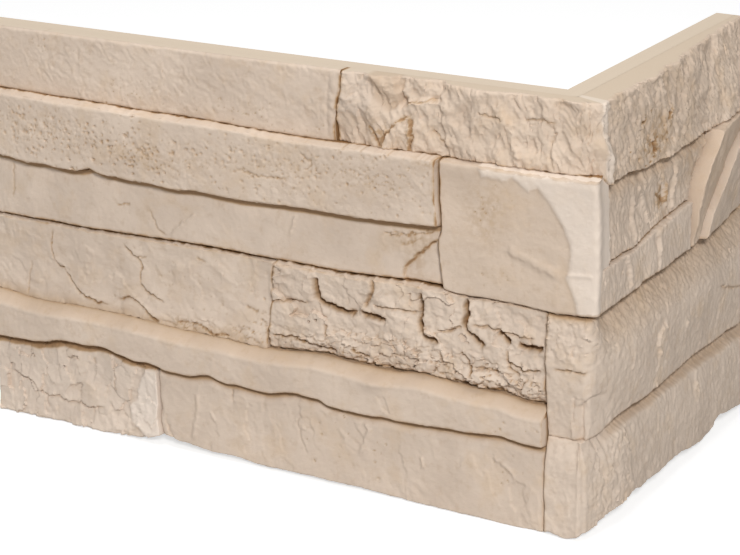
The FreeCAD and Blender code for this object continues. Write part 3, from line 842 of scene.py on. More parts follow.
@dataclass
class Stone:
    """One stone of the relief: a closed block whose face is worked by its marks.

    foot and top are its edges as lines of (place, height), left and right its ends as lines
    of (height, place). Half the joint is taken off at each end, and the gaps at the foot and
    the top. lean is how much less deep the face is at the top than at the foot. The marks of
    side_marks are given in places on the short leg, for a stone that turns the corner.
    rounds are the radii of the four edges, and edge_stain how dirty each is. A raw edge lies
    on the outside of the casting and shows its core. The joint values are the depths at
    which dirt begins on the walls. taper draws in the right wall towards its root, and tone
    darkens the whole stone, or lightens it below nought.
    """

    name: str
    leg: Leg
    depth: float
    foot: Line
    top: Line
    left: Line
    right: Line
    marks: tuple[Mark, ...] = ()
    side_marks: tuple[Mark, ...] = ()
    turn: Turn | None = None
    side_depth: float = 0.0
    lean: float = 0.0
    pitch: float = 0.62
    rounds: tuple[float, float, float, float] = (1.1, 1.1, 1.1, 1.1)
    ragged: float = 0.35
    seed: int = 1
    foot_gap: float = JOINT / 2.0
    top_gap: float = JOINT / 2.0
    joint_top: float = 0.0
    joint_foot: float = 0.0
    joint_left: float = 0.0
    joint_right: float = 0.0
    raw: Edge = Edge(0)
    grain: float = 0.09
    taper: float = 0.0
    edge_stain: tuple[float, float, float, float] = (0.5, 0.0, 0.35, 0.35)
    tone: float = 0.0

    def lines(self, length: float, near: float, far: float, walls: int) -> tuple[Grid, Grid]:
        """Grid lines across the stone in one direction.

        Args:
            length: The mean size in this direction.
            near: The radius of the rounded edge at the start.
            far: The radius at the end.
            walls: How many lines lie on each wall below the face.

        Returns:
            The lines' shares of the size, and the share of the wall that is left, which is 1
            on the face.
        """
        steps = np.array(EDGE_STEPS)
        first = steps * near
        last = length - steps[::-1] * far
        count = max(int(round((last[0] - first[-1]) / self.pitch)), 2)
        middle = np.linspace(first[-1], last[0], count + 1)[1:-1]
        along = np.concatenate([first, middle, last])
        fall = 1.0 - np.linspace(0.0, 1.0, walls + 1)[1:] ** 1.3
        wall = np.concatenate([fall[::-1], np.ones(len(along)), fall])
        along = np.concatenate([np.zeros(walls), along, np.full(walls, length)])
        return along / length, wall

    def work(self, place: Grid, height: Grid, foot: Grid, top: Grid) -> Surface:
        """Give the face its depth and let each mark carve it.

        Args:
            place: Places of the face's points.
            height: Their heights.
            foot: The height of the foot edge under each.
            top: The height of the top edge over each.

        Returns:
            The worked face.
        """
        nought = np.zeros_like(place)
        face = Surface(place, height, height - foot, top - height, nought, nought.copy())
        share = np.clip((height - foot) / np.maximum(top - foot, 0.1), 0.0, 1.0)
        face.depth += self.depth - self.lean * share
        if self.turn:
            turned_share = ease((place - self.turn.start) / (self.turn.arris * math.pi / 2.0))
            face.depth += (self.side_depth - self.depth) * turned_share
        for mark in self.marks:
            mark.carve(face)
        if self.side_marks:
            face.place = place - self.turn.shift
            for mark in self.side_marks:
                mark.carve(face)
            face.place = place
        face.depth += self.grain * layered(
            place / GRAIN_WAVE, height / GRAIN_WAVE, self.seed, 3, 0.7
        )
        return face

    def soil(
        self, stain: Grid, depth: Grid, below: Grid, gaps: tuple[Grid, ...],
        walls: tuple[Grid, ...], streak: Grid,
    ) -> tuple[Grid, Grid]:
        """Put the dirt of the joints on the edges and walls, and bare the core of raw walls.

        Dirt begins on a wall at its joint's depth, and on the face it dies out as a bell of
        the distance from the edge.

        Args:
            stain: The staining of the worked face.
            depth: The depth of each point.
            below: How far each point lies below its edge.
            gaps: The distances from the four edges.
            walls: One on the wall of each edge and nought elsewhere.
            streak: How unevenly the dirt lies.

        Returns:
            The staining and the share of bare core.
        """
        levels = (self.joint_foot, self.joint_top, self.joint_left, self.joint_right)
        core = np.zeros_like(stain)
        for edge, wall, gap, level, strength in zip(Edge, walls, gaps, levels, self.edge_stain):
            if edge in self.raw:
                core = np.maximum(core, wall * ease(below / CORE_DEPTH))
            elif level:
                dark = ease((level - depth) / DIRT_DEPTH + 0.3)
                rim = strength * streak * np.exp(-((gap / DIRT_REACH) ** 2)) * (1.0 - wall)
                cover = np.maximum(wall * dark, rim)
                stain = np.where(cover > 0.02, np.maximum(stain, cover), stain)
        return stain, core

    def build(self) -> bpy.types.Object:
        """Work the face out on its grid and make the closed mesh.

        Returns:
            The stone, linked to the scene.
        """
        mean_foot, mean_top = (np.mean([z for _, z in line]) for line in (self.foot, self.top))
        middle = np.array([0.5 * (mean_foot + mean_top)])
        left, right = (float(flow(line, middle)[0]) for line in (self.left, self.right))
        centre = np.full((1, 1), left + 0.5 * (right - left))
        foot, top = flow(self.foot, centre), flow(self.top, centre)
        low, high, near, far = self.rounds
        tall = float((top - foot)[0, 0]) - self.foot_gap - self.top_gap
        u, wall_u = self.lines(right - left - JOINT, near, far, END_WALLS)
        v, wall_v = self.lines(tall, low, high, EDGE_WALLS)
        u, v = u[:, None], v[None, :]
        wall = wall_u[:, None] * wall_v[None, :]

        # edges: the ends depend on the height and the foot and top on the place, so a first
        # guess of the height gives the place, and the place then gives the height
        height = foot * (1.0 - v) + top * v + np.zeros_like(u)
        for _ in range(3):
            start = flow(self.left, height) + JOINT / 2.0
            end = flow(self.right, height) - JOINT / 2.0
            place = start + (end - start) * u
            foot = flow(self.foot, place) + self.foot_gap
            top = flow(self.top, place) - self.top_gap
            height = foot + (top - foot) * v
        rag = layered(place / RAG_WAVE, height / RAG_WAVE, self.seed + 50, 3, 0.6)
        edge = np.exp(-np.minimum(height - foot, top - height) / RAG_REACH)
        height = height + self.ragged * rag * edge
        if Edge.TOP in self.raw:
            height = np.where(v >= 1.0, top, np.minimum(height, top))
        height = np.maximum(height, -DATUM)
        face = self.work(place, height, foot, top)

        # rounded edges: a quarter circle of the distance from each edge, of uneven radius
        worn = 1.0 + 0.5 * layered(place / WORN_WAVE, height / WORN_WAVE, self.seed + 60, 2)
        width = end - start
        gaps = (height - foot, top - height, u * width, (1.0 - u) * width)
        drop = np.zeros_like(place)
        for gap, radius in zip(gaps, self.rounds):
            t = np.clip(np.maximum(gap, 0.0) / (radius * worn), 0.0, 1.0)
            drop += radius * worn * (1.0 - np.sqrt(np.maximum(1.0 - (1.0 - t) ** 2, 0.0)))
        edge_depth = np.maximum(face.depth - drop, ROOT + 0.5)
        depth = ROOT + (edge_depth - ROOT) * wall
        below = edge_depth - depth

        # walls lean into the joint, so that the joints close towards the root
        walls = ((v <= 0.0) + 0.0, (v >= 1.0) + 0.0, (u <= 0.0) + 0.0, (u >= 1.0) + 0.0)
        lean_in = JOINT / 2.0 * ease(below / CLOSING_DEPTH)
        height = height - lean_in * walls[0] * (self.foot_gap > 0.0)
        height = height + lean_in * walls[1] * (self.top_gap > 0.0)
        place = place - lean_in * walls[2] + lean_in * walls[3]
        drawn = np.clip(1.0 - (1.0 - u) * width / (4.0 * max(self.taper, 0.1)), 0.0, 1.0)
        place = place - self.taper * ease(below / TAPER_DEPTH) * drawn

        streak = layered(place / STREAK_WAVE, height / STREAK_WAVE, self.seed + 80, 3, 0.6)
        stain = np.clip(face.stain + self.tone, -1.0, 1.0)
        stain, core = self.soil(stain, depth, below, gaps, walls, 0.6 + 0.6 * streak)
        return closed_block(
            self.name, self.laid(place, height, depth, wall), {"stain": stain, "core": core}
        )

    def laid(self, place: Grid, height: Grid, depth: Grid, wall: Grid) -> Grid:
        """Lay the worked grid on its leg, or round the corner, with the draft of the ends.

        Args:
            place: Places of the points.
            height: Their heights.
            depth: Their depths.
            wall: The share of the wall that is left at each.

        Returns:
            The points in metres.
        """
        if self.leg is Leg.LONG:
            draft = LEFT_DRAFT * np.maximum(1.0 - (place + LONG_LEG) / DRAFT_RUN, 0.0)
            x, y = place + draft * depth, -depth
        elif self.leg is Leg.SHORT:
            draft = RIGHT_DRAFT * np.maximum(1.0 - (SHORT_LEG - place) / DRAFT_RUN, 0.0)
            x, y = depth, place - draft * depth
        else:
            base, out, root = self.turn.lay(place)
            front = base + out * (ROOT + (depth - ROOT) / np.maximum(wall, 1e-6))[..., None]
            point = root + (front - root) * wall[..., None]
            x, y = point[..., 0], point[..., 1]
            side = place - self.turn.shift
            draft = RIGHT_DRAFT * np.maximum(1.0 - (SHORT_LEG - side) / DRAFT_RUN, 0.0)
            y = np.where(side > 0.0, y - draft * depth, y)
        return np.stack([x, y, height + DATUM], axis=-1) * MM


def closed_block(name: str, points: Grid, values: dict[str, Grid]) -> bpy.types.Object:
    """A closed mesh from a grid of points whose border lies on its back.

    The back is closed by a four-sided face for each column and by one many-sided face at
    each end.

    Args:
        name: The name of the piece.
        points: Points of the grid in metres, first index along, second index up.
        values: A number for each point, by name, kept as attributes.

    Returns:
        The object, linked to the scene.
    """
    columns, rows = points.shape[:2]
    index = np.arange(columns * rows).reshape(columns, rows)
    quads = np.stack([index[:-1, :-1], index[1:, :-1], index[1:, 1:], index[:-1, 1:]], axis=-1)
    back = np.stack([index[1:-2, -1], index[2:-1, -1], index[2:-1, 0], index[1:-2, 0]], axis=-1)
    loops = [quads.reshape(-1), back.reshape(-1)]
    sizes = [np.full((columns - 1) * (rows - 1) + columns - 3, 4)]
    first = np.concatenate([index[0, :], [index[1, -1], index[1, 0]]])
    last = np.concatenate([index[-1, ::-1], [index[-2, 0], index[-2, -1]]])
    loops.extend([first, last])
    sizes.append(np.array([len(first), len(last)]))
    corners, counts = np.concatenate(loops), np.concatenate(sizes)
    mesh = bpy.data.meshes.new(name)
    mesh.vertices.add(columns * rows)
    mesh.vertices.foreach_set("co", points.astype(np.float32).reshape(-1))
    mesh.loops.add(len(corners))
    mesh.loops.foreach_set("vertex_index", corners.astype(np.int32))
    mesh.polygons.add(len(counts))
    starts = np.concatenate([[0], np.cumsum(counts)[:-1]])
    mesh.polygons.foreach_set("loop_start", starts.astype(np.int32))
    mesh.update(calc_edges=True)
    mesh.validate()
    mesh.polygons.foreach_set("use_smooth", np.ones(len(mesh.polygons), bool))
    mesh.set_sharp_from_angle(angle=math.radians(SHARP))
    for key, value in values.items():
        layer = mesh.attributes.new(key, "FLOAT", "POINT")
        layer.data.foreach_set("value", value.astype(np.float32).reshape(-1))
    piece = bpy.data.objects.new(name, mesh)
    bpy.context.scene.collection.objects.link(piece)
    return piece


@dataclass(frozen=True)
class Pattern:
    """A noise pattern: its values from low to high are stretched to 0 to 1, times share.

    scale is in waves to the metre, detail is the number of finer layers, and rough how
    strong each of them is beside the one before.
    """

    scale: float
    detail: float
    rough: float
    low: float = 0.0
    high: float = 1.0
    share: float = 1.0


@dataclass(frozen=True)
class StoneFinish:
    """Matt cast stone: a warm pale body, brown dirt in the joints, a creamier cut core."""

    body: tuple[float, float, float] = (0.70, 0.575, 0.468)
    body_dark: tuple[float, float, float] = (0.60, 0.485, 0.39)
    rust: tuple[float, float, float] = (0.62, 0.46, 0.31)
    # pale also paints the highlights on the lit strips at the corner
    pale: tuple[float, float, float] = (0.84, 0.735, 0.64)
    # patina and dirt also paint the shadow bands under the overhanging stones
    patina: tuple[float, float, float] = (0.47, 0.325, 0.2)
    dirt: tuple[float, float, float] = (0.27, 0.14, 0.055)
    core: tuple[float, float, float] = (0.68, 0.565, 0.44)
    mottle: Pattern = Pattern(28.0, 5.0, 0.6, 0.32, 0.68)
    warmth: Pattern = Pattern(60.0, 4.0, 0.6, 0.52, 0.72, 0.45)
    speckle: Pattern = Pattern(210.0, 5.0, 0.65, 0.54, 0.72, 0.3)
    sand: Pattern = Pattern(900.0, 6.0, 0.7)
    roughness: float = 0.9
    gloss: float = 0.25
    bump: float = 0.3
    bump_height: float = 0.0006

    def material(self) -> bpy.types.Material:
        """The material, on Object coordinates and the stones' own attributes.

        Returns:
            The material, which every piece of the casting shares.
        """
        made = bpy.data.materials.new("cast stone")
        made.use_nodes = True
        nodes, links = made.node_tree.nodes, made.node_tree.links
        shader = nodes["Principled BSDF"]
        shader.inputs["Roughness"].default_value = self.roughness
        shader.inputs["Specular IOR Level"].default_value = self.gloss
        where = nodes.new("ShaderNodeTexCoord")

        def noise(pattern: Pattern) -> bpy.types.NodeSocket:
            """A pattern's noise on Object coordinates, not yet stretched."""
            node = nodes.new("ShaderNodeTexNoise")
            node.inputs["Scale"].default_value = pattern.scale
            node.inputs["Detail"].default_value = pattern.detail
            node.inputs["Roughness"].default_value = pattern.rough
            links.new(where.outputs["Object"], node.inputs["Vector"])
            return node.outputs["Fac"]

        def ramp(value: bpy.types.NodeSocket, low: float, high: float) -> bpy.types.NodeSocket:
            """A value stretched so that low becomes 0 and high becomes 1."""
            node = nodes.new("ShaderNodeMapRange")
            node.inputs["From Min"].default_value = low
            node.inputs["From Max"].default_value = high
            links.new(value, node.inputs["Value"])
            return node.outputs["Result"]

        def blend(
            share: bpy.types.NodeSocket, below: object, above: object
        ) -> bpy.types.NodeSocket:
            """A mix of two colours by a share; a colour is a tuple or a socket."""
            node = nodes.new("ShaderNodeMix")
            node.data_type = "RGBA"
            links.new(share, node.inputs["Factor"])
            for socket, value in ((node.inputs[6], below), (node.inputs[7], above)):
                if isinstance(value, tuple):
                    socket.default_value = (*value, 1.0)
                else:
                    links.new(value, socket)
            return node.outputs[2]

        def scaled(value: bpy.types.NodeSocket, factor: float) -> bpy.types.NodeSocket:
            """A value times a number."""
            node = nodes.new("ShaderNodeMath")
            node.operation = "MULTIPLY"
            links.new(value, node.inputs[0])
            node.inputs[1].default_value = factor
            return node.outputs[0]

        def attribute(name: str) -> bpy.types.NodeSocket:
            """A number kept on the stones' points."""
            node = nodes.new("ShaderNodeAttribute")
            node.attribute_name = name
            return node.outputs["Fac"]

        colour = self.body_dark
        for pattern, above in (
            (self.mottle, self.body), (self.warmth, self.rust), (self.speckle, self.patina)
        ):
            share = ramp(noise(pattern), pattern.low, pattern.high)
            if pattern.share < 1.0:
                share = scaled(share, pattern.share)
            colour = blend(share, colour, above)
        colour = blend(attribute("core"), colour, self.core)
        stain = attribute("stain")
        # above nought the staining darkens through patina to dirt, which also paints shadow bands;
        # below nought it pales, which paints highlights
        for low, high, above in (
            (0.0, -1.0, self.pale), (0.0, 0.5, self.patina), (0.35, 1.0, self.dirt)
        ):
            colour = blend(ramp(stain, low, high), colour, above)
        links.new(colour, shader.inputs["Base Color"])
        grain = nodes.new("ShaderNodeBump")
        grain.inputs["Strength"].default_value = self.bump
        grain.inputs["Distance"].default_value = self.bump_height
        links.new(noise(self.sand), grain.inputs["Height"])
        links.new(grain.outputs["Normal"], shader.inputs["Normal"])
        return made


@dataclass
class Backing:
    """The L-shaped backing slab, with flat backs, a flat foot and drafted ends."""

    thickness: float = BACKING
    height: float = TOP + DATUM

    def build(self) -> bpy.types.Object:
        """Carry the plan of the slab, an L with six corners, up from the foot to the top.

        Returns:
            The slab, linked to the scene.
        """
        thick = self.thickness
        plan = np.array([
            (-LONG_LEG, 0.0), (-LONG_LEG + LEFT_DRAFT * thick, -thick), (thick, -thick),
            (thick, SHORT_LEG - RIGHT_DRAFT * thick), (0.0, SHORT_LEG), (0.0, 0.0),
        ])
        low = np.column_stack([plan, np.zeros(6)]) * MM
        high = np.column_stack([plan, np.full(6, self.height)]) * MM
        faces = [(0, 5, 2, 1), (5, 4, 3, 2), (7, 8, 11, 6), (8, 9, 10, 11)]
        faces += [(k, (k + 1) % 6, (k + 1) % 6 + 6, k + 6) for k in range(6)]
        mesh = bpy.data.meshes.new("backing")
        mesh.from_pydata(np.concatenate([low, high]).tolist(), [], faces)
        mesh.validate()
        for key, value in (("stain", 0.0), ("core", 1.0)):
            layer = mesh.attributes.new(key, "FLOAT", "POINT")
            layer.data.foreach_set("value", np.full(12, value, np.float32))
        piece = bpy.data.objects.new("backing", mesh)
        bpy.context.scene.collection.objects.link(piece)
        return piece


def both(long_line: Line, side_line: Line, turn: Turn) -> Line:
    """A line on the long leg carried on by one on the short leg.

    Args:
        long_line: The line on the long leg, kept as far as the arris.
        side_line: The line on the short leg, kept from behind the arris.
        turn: The turn that joins them.

    Returns:
        The line in places along the face.
    """
    side = ((place + turn.shift, height) for place, height in side_line)
    return (
        *(point for point in long_line if point[0] <= turn.start - 1.0),
        *(point for point in side if point[0] > turn.start + 4.0),
    )


def level_line(height: float) -> Line:
    """A level edge at the given height."""
    return ((-400.0, height), (400.0, height))


def upright(place: float) -> Line:
    """An upright end at the given place."""
    return ((-50.0, place), (260.0, place))


def far_end(shift: float = 0.0) -> Line:
    """The short leg's far end, for a stone whose places are shifted by its turn."""
    return upright(SHORT_LEG + shift + JOINT / 2.0)


def shifted(line: Line, by: float) -> Line:
    """An upright joint moved along the leg."""
    return tuple((height, place + by) for height, place in line)


def fading(*points: tuple[float, float]) -> Line:
    """A profile that stays at nought from its last point to the far side of the face."""
    return (*points, (FAR, 0.0))


LEFT_END = upright(-LONG_LEG - JOINT / 2.0)
# where the left edges of the tall stone and of the corner column meet their neighbours
TALL_EDGE = shifted(TALL_SPLIT, -0.4)
COLUMN_EDGE = shifted(COLUMN_SPLIT, -0.4)
# how far the foot stones lie back under the ledge
UNDER_LEDGE = fading((0.0, -2.8), (1.8, -1.8), (3.4, -0.5), (4.4, 0.0), (6.0, 0.0))


class Course(ABC):
    """Stones that are made together."""

    @abstractmethod
    def stones(self) -> list[Stone]:
        """The stones of the course, ready to be built."""


@dataclass
class TopCourse(Course):
    """The highest course: a smooth stone and a split one that turns the corner."""

    left_depth: float = 18.6
    corner: Turn = Turn(out_long=20.5, out_short=26.5, arris=8.0)

    def stones(self) -> list[Stone]:
        """The stones of the course.

        Returns:
            The stones, the left one first.
        """
        wrap = self.corner
        smooth = Stone(
            "top_left_stone", Leg.LONG, self.left_depth, TOP_JOINT, level_line(TOP), LEFT_END,
            TOP_SPLIT, lean=1.2, top_gap=0.0, seed=11, foot_gap=0.3, rounds=(0.7, 1.4, 1.2, 0.6),
            raw=Edge.TOP | Edge.LEFT, joint_foot=17.0, joint_right=17.5,
            edge_stain=(0.5, 0.0, 0.0, 1.0),
            marks=(
                Unevenness(0.9, 60.0, 3, octaves=2),
                Unevenness(0.38, 6.5, 4, stretch=0.7, turn=35.0, patches=40.0),
                Unevenness(0.24, 2.6, 6, stretch=0.7, turn=20.0, octaves=3, patches=24.0),
                vein(((-113.5, 172), (-114.2, 188), (-113.2, 204)), 0.5, 1.8, wander=0.3),
                Crack(((-116.6, 173), (-117.2, 188), (-116, 203)), 0.5, 0.86, stain=0.0,
                      wander=0.3),
                Pits((-286, 199), (7, 4), share=0.8, seed=3),
                Pits((-236, 184), (22, 9), share=0.5, seed=4, depth=0.6, stain=0.3),
                Pits((-205, 177), (60, 6), share=0.3, seed=5, depth=0.7),
                Pits((-150, 178), (24, 7), share=0.4, seed=6, depth=0.9),
                Hollow((-170, 186), (14, 6), 0.5, turn=30.0),
                Hollow((-128, 178), (5, 5), 0.7),
            ),
        )
        split = Stone(
            "top_corner_stone", Leg.BOTH, 20.0, both(TOP_JOINT, SIDE_TOP_JOINT, wrap),
            level_line(TOP), TOP_SPLIT, far_end(wrap.shift), turn=wrap, side_depth=26.5, lean=2.4,
            top_gap=0.0, seed=23, pitch=0.6, ragged=0.4, rounds=(0.8, 1.0, 0.5, 1.2),
            raw=Edge.TOP | Edge.RIGHT, grain=0.1, joint_foot=17.0, joint_left=17.0, tone=0.09,
            foot_gap=0.3, edge_stain=(0.4, 0.0, 0.9, 0.0),
            marks=(
                Unevenness(1.3, 30.0, 33, octaves=2),
                Ridges(1.3, 30.0, 35, stretch=1.2, turn=-50.0, octaves=2, gain=0.4,
                       span=(-130, 22)),
                Unevenness(1.5, 16.0, 38, stretch=1.2, turn=-55.0, octaves=3, gain=0.38),
                Unevenness(0.22, 3.2, 39, octaves=3, gain=0.7, patches=16.0),
                Flake(((-95, 208), (-87, 209), (-77, 204), (-76, 193), (-84, 189), (-91, 194)),
                      -0.8, 3.0, tint_and_painted_highlight=0.1, tilt=(-0.16, 0.2)),
                Flake(((-110, 208), (-96, 208), (-92, 192), (-98, 184), (-110, 186)), 0.5, 4.0,
                      tint_and_painted_highlight=-0.1),
                Flake(((-77, 190), (-73, 194), (-66, 196.5), (-57, 196), (-55, 206), (-82, 206)),
                      -3.2, 2.2, fade=30.0),
                Hollow((-97, 196), (7, 8), 1.4),
                Hollow((-84, 200), (7, 6), -2.4),
                Flake(((-83.7, 179.5), (-76, 186), (-71.8, 187), (-70.6, 181), (-70.6, 175),
                       (-71.9, 170), (-86.4, 170)), 1.0, 0.9, wander=0.8, stain=0.22),
                Stain((-88, 178), (6, 6), 0.4, seed=46),
                Stain((-72, 180), (2.5, 8), 0.4, seed=47),
                Crack(((-88, 171), (-83, 179), (-76, 186), (-72, 188)), 1.0, 0.6, stain=0.42,
                      wander=1.5),
                Crack(((-71, 187), (-70, 178), (-71.5, 171)), 1.0, 0.6, stain=0.42, wander=1.4),
                Crack(((-93, 181), (-90.6, 178.6), (-89, 176), (-87, 171)), 0.9, 0.53, stain=0.56),
                Crack(((-76, 192), (-70.9, 194), (-62.5, 195.9), (-57.5, 195.7)), 1.0, 0.42,
                      lip=-0.5, stain=0.35),
                vein(((-56.4, 196), (-53, 192), (-54, 187), (-52, 182), (-49.8, 175)), 1.2, 2.0,
                     lip=0.6),
                Crack(((-60.6, 183), (-56.5, 180), (-50.2, 175)), 1.0, 0.59, stain=0.28, lip=0.4),
                Hollow((-46, 190), (4, 7), 1.3, turn=20.0),
                Hollow((-35, 203), (9, 5), -1.6),
                Crack(((-35.8, 195), (-30, 193.2), (-25.3, 193.4), (-23.6, 192.2)), 0.9, 0.46,
                      lip=0.6, stain=0.28),
                Crack(((-13.2, 193.5), (-6, 194), (-2, 195.6), (-0.5, 193.6), (3.4, 193.7)), 1.0,
                      0.46, lip=0.4, stain=0.28),
                Crack(((0.3, 193.7), (2.7, 188.9), (1.2, 184.3), (1.8, 176)), 0.8, 0.79, lip=0.7,
                      stain=0.07),
                vein(((-22.8, 193), (-19.6, 188), (-18, 183), (-14.7, 179), (-13.1, 175)), 1.4, 1.6,
                     lip=-0.7),
                vein(((-3.8, 205), (-1.3, 195.7), (-4.4, 186.5), (-0.4, 180)), 0.9, 1.8),
            ),
            side_marks=(
                Lean(((-20, 0), (0, 0), (60, 0), (91, 3.5), (120, 6), (142, 7.5), (174, 10))),
                Ridges(0.36, 9.0, 45, stretch=0.5, turn=10.0, octaves=4, gain=0.62),
                vein(((-15.6, 205), (-15, 195), (-13.7, 166)), 0.9, 1.8, wander=0.3),
                # paler strip beside the corner arris: a painted highlight, with a slight rise
                Flake(((-16.5, 212), (-13.5, 160), (-7.5, 160), (-10, 212)), 0.2, 2.4, wander=0.3,
                      tint_and_painted_highlight=-0.5, tilt=(0.1, 0)),
                Pits((28, 186), (4, 4), pitch=2.6, size=1.1, depth=1.6, share=1.0, seed=13,
                     stain=0.9),
                Pits((57, 182), (4, 5), pitch=3.0, size=1.3, depth=2.0, share=1.0, seed=14,
                     stain=0.95),
                Pits((40, 172), (14, 6), pitch=2.4, size=0.9, depth=1.3, share=0.9, seed=15,
                     stain=0.85),
                *cracks((((27, 188), (29, 184)), ((56, 185), (58, 180)), ((38, 175), (41, 169))),
                        1.8, 1.1, stain=0.9, wander=1.3),
                Stain((42, 173), (18, 8), 0.4, seed=21),
                Stain((45, 184), (25, 9), 0.2, seed=22),
            ),
        )
        return [smooth, split]


@dataclass
class UpperCourse(Course):
    """The porous upper stone, the recessed one under it and the tall corner block."""

    upper_depth: float = 26.4
    middle_depth: float = 21.0
    tall_depth: float = 25.8

    def stones(self) -> list[Stone]:
        """The stones of the course.

        Returns:
            The stones, the left one first.
        """
        upper = Stone(
            "upper_stone", Leg.LONG, self.upper_depth, UPPER_JOINT, TOP_JOINT, LEFT_END, TALL_EDGE,
            lean=-0.2, seed=31, rounds=(0.8, 1.4, 1.2, 0.7), raw=Edge.LEFT, joint_top=19.6,
            joint_foot=18.0, joint_left=23.0, joint_right=23.0, ragged=0.45,
            edge_stain=(0.5, 0.0, 0.0, 0.85), top_gap=0.3,
            marks=(
                Unevenness(0.8, 50.0, 13, octaves=2),
                Unevenness(0.28, 7.0, 14, octaves=4, gain=0.65, patches=36.0),
                Swing(((-325, 0.8), (-250, 0.3), (-150, -0.6), (-53, 0))),
                Unevenness(0.2, 1.9, 15, octaves=2, gain=0.8, patches=30.0),
                Pits((-284, 156), (34, 10), pitch=2.2, size=0.95, share=0.9, depth=1.2, seed=23,
                     stain=0.4),
                Pits((-226, 152), (26, 10), pitch=2.4, size=1.05, share=0.9, depth=1.3, seed=24,
                     stain=0.4),
                Pits((-150, 155), (60, 12), pitch=2.4, size=0.85, share=0.7, depth=1.0, seed=25,
                     stain=0.35),
                Pits((-90, 160), (26, 9), pitch=2.1, size=0.75, share=0.8, depth=0.9, seed=26,
                     stain=0.35),
                Stain((-284, 158), (34, 10), 0.12, seed=27),
                Stain((-210, 150), (40, 8), 0.16, seed=28),
                Stain((-120, 156), (60, 12), 0.12, seed=29),
                Stain((-57, 170), (7, 4), 0.4, seed=30),
                Crack(((-165, 152), (-150, 150), (-135, 151)), 0.7, 0.42, stain=0.28),
                Crack(((-128, 165), (-121, 160), (-126, 156)), 0.7, 0.46, stain=0.28),
            ),
        )
        middle = Stone(
            "middle_stone", Leg.LONG, self.middle_depth, MIDDLE_JOINT, UPPER_JOINT, LEFT_END,
            TALL_EDGE, lean=0.4, seed=41, rounds=(0.8, 0.6, 1.2, 1.0), joint_foot=19.5,
            raw=Edge.LEFT, edge_stain=(1.0, 0.0, 0.0, 0.8),
            marks=(
                Unevenness(0.7, 55.0, 23, octaves=2),
                # brown band along the top under the overhanging upper stone: partly brown stain,
                # partly painted shadow
                Slope(fading((0, 0)),
                      stain=fading((0, 0.68), (1, 0.64), (2.3, 0.58), (3.1, 0.1), (3.8, 0)),
                      wander=0.2),
                Unevenness(0.2, 9.0, 24, octaves=4, patches=44.0),
                Crack(((-308.6, 136), (-309, 126), (-310.2, 116)), 0.5, 0.42, stain=0.35),
                Crack(((-220.7, 121.5), (-217.2, 116), (-215.3, 111.6), (-210.5, 110)), 0.6, 0.42,
                      lip=0.3, stain=0.35),
                vein(((-207.7, 110.4), (-199.3, 118.7), (-192.6, 123.4)), 0.7, 0.6, lip=-0.3),
                Crack(((-240.5, 121.5), (-231.1, 122.8)), 0.6, 0.42, stain=0.42),
                vein(((-133.4, 131.7), (-136.8, 121.3)), 0.7, 0.7),
                Flake(((-56.7, 131), (-63.7, 124.4), (-68.7, 120), (-73.7, 114.6), (-74, 104),
                       (-45, 104), (-45, 131)), -1.6, 0.9, fade=30.0, stain=0.35),
                Crack(((-56, 131.5), (-63.7, 124.4), (-68.7, 120), (-75, 114)), 0.6, 0.42,
                      stain=0.42),
                Hollow((-110, 113), (16, 5), 0.6),
                Crack(((-86, 130), (-78, 130.6), (-70, 131.6), (-62, 133.6), (-56, 136)), 0.7, 0.5,
                      lip=0.5, stain=0.4, wander=1.2),
                Crack(((-76, 126), (-70, 128), (-64, 131)), 0.5, 0.5, lip=0.4, stain=0.3,
                      wander=1.0),
                Stain((-66, 130), (14, 6), 0.25, seed=43),
                Stain((-68, 118), (6, 8), 0.25, seed=44),
            ),
        )
        tall = Stone(
            "tall_stone", Leg.LONG, self.tall_depth, MIDDLE_JOINT, TOP_JOINT, TALL_SPLIT,
            ((100, 28.4), (140, 28.8), (174, 27.6)), lean=0.4, seed=51, rounds=(1.2, 1.3, 1.0, 2.2),
            joint_top=20.0, joint_foot=22.5, joint_left=22.0, taper=2.4, tone=-0.5,
            edge_stain=(0.4, 0.2, 1.0, 0.3), top_gap=0.3, foot_gap=0.3,
            marks=(
                Unevenness(0.5, 40.0, 53, octaves=2),
                Unevenness(0.1, 8.0, 54, octaves=3),
                Flake(((-30.8, 166.7), (-20, 166), (-15, 168), (-6.8, 162.5), (-2.5, 165),
                       (3.8, 158), (10.1, 148.6), (13.9, 140.4), (14.6, 134.6), (13.5, 128.6),
                       (12.3, 123.7), (16.8, 115.5), (19.3, 104), (-60, 104), (-62, 140),
                       (-60, 180), (-36, 180)), -0.9, 3.4, wander=0.5, tint_and_painted_highlight=0.58),
                vein(((-18.6, 134.2), (-13.5, 131.4), (-6.5, 129.5), (-0.2, 127), (9, 124.8)), 1.0,
                     2.2, lip=0.7, wander=0.5),
                vein(((11.7, 125.9), (25.8, 127.4)), 0.5, 0.9, wander=0.2),
                Slope(fading((0, 0), (3, 0.25), (6, 0))),
                Pits((-25, 155), (12, 10), share=0.35, seed=33, depth=0.5, stain=0.35),
                Pits((-22, 118), (8, 10), share=0.35, seed=34, depth=0.5, stain=0.35),
                Stain((-30, 148), (12, 16), 0.18, seed=31),
            ),
        )
        return [upper, middle, tall]


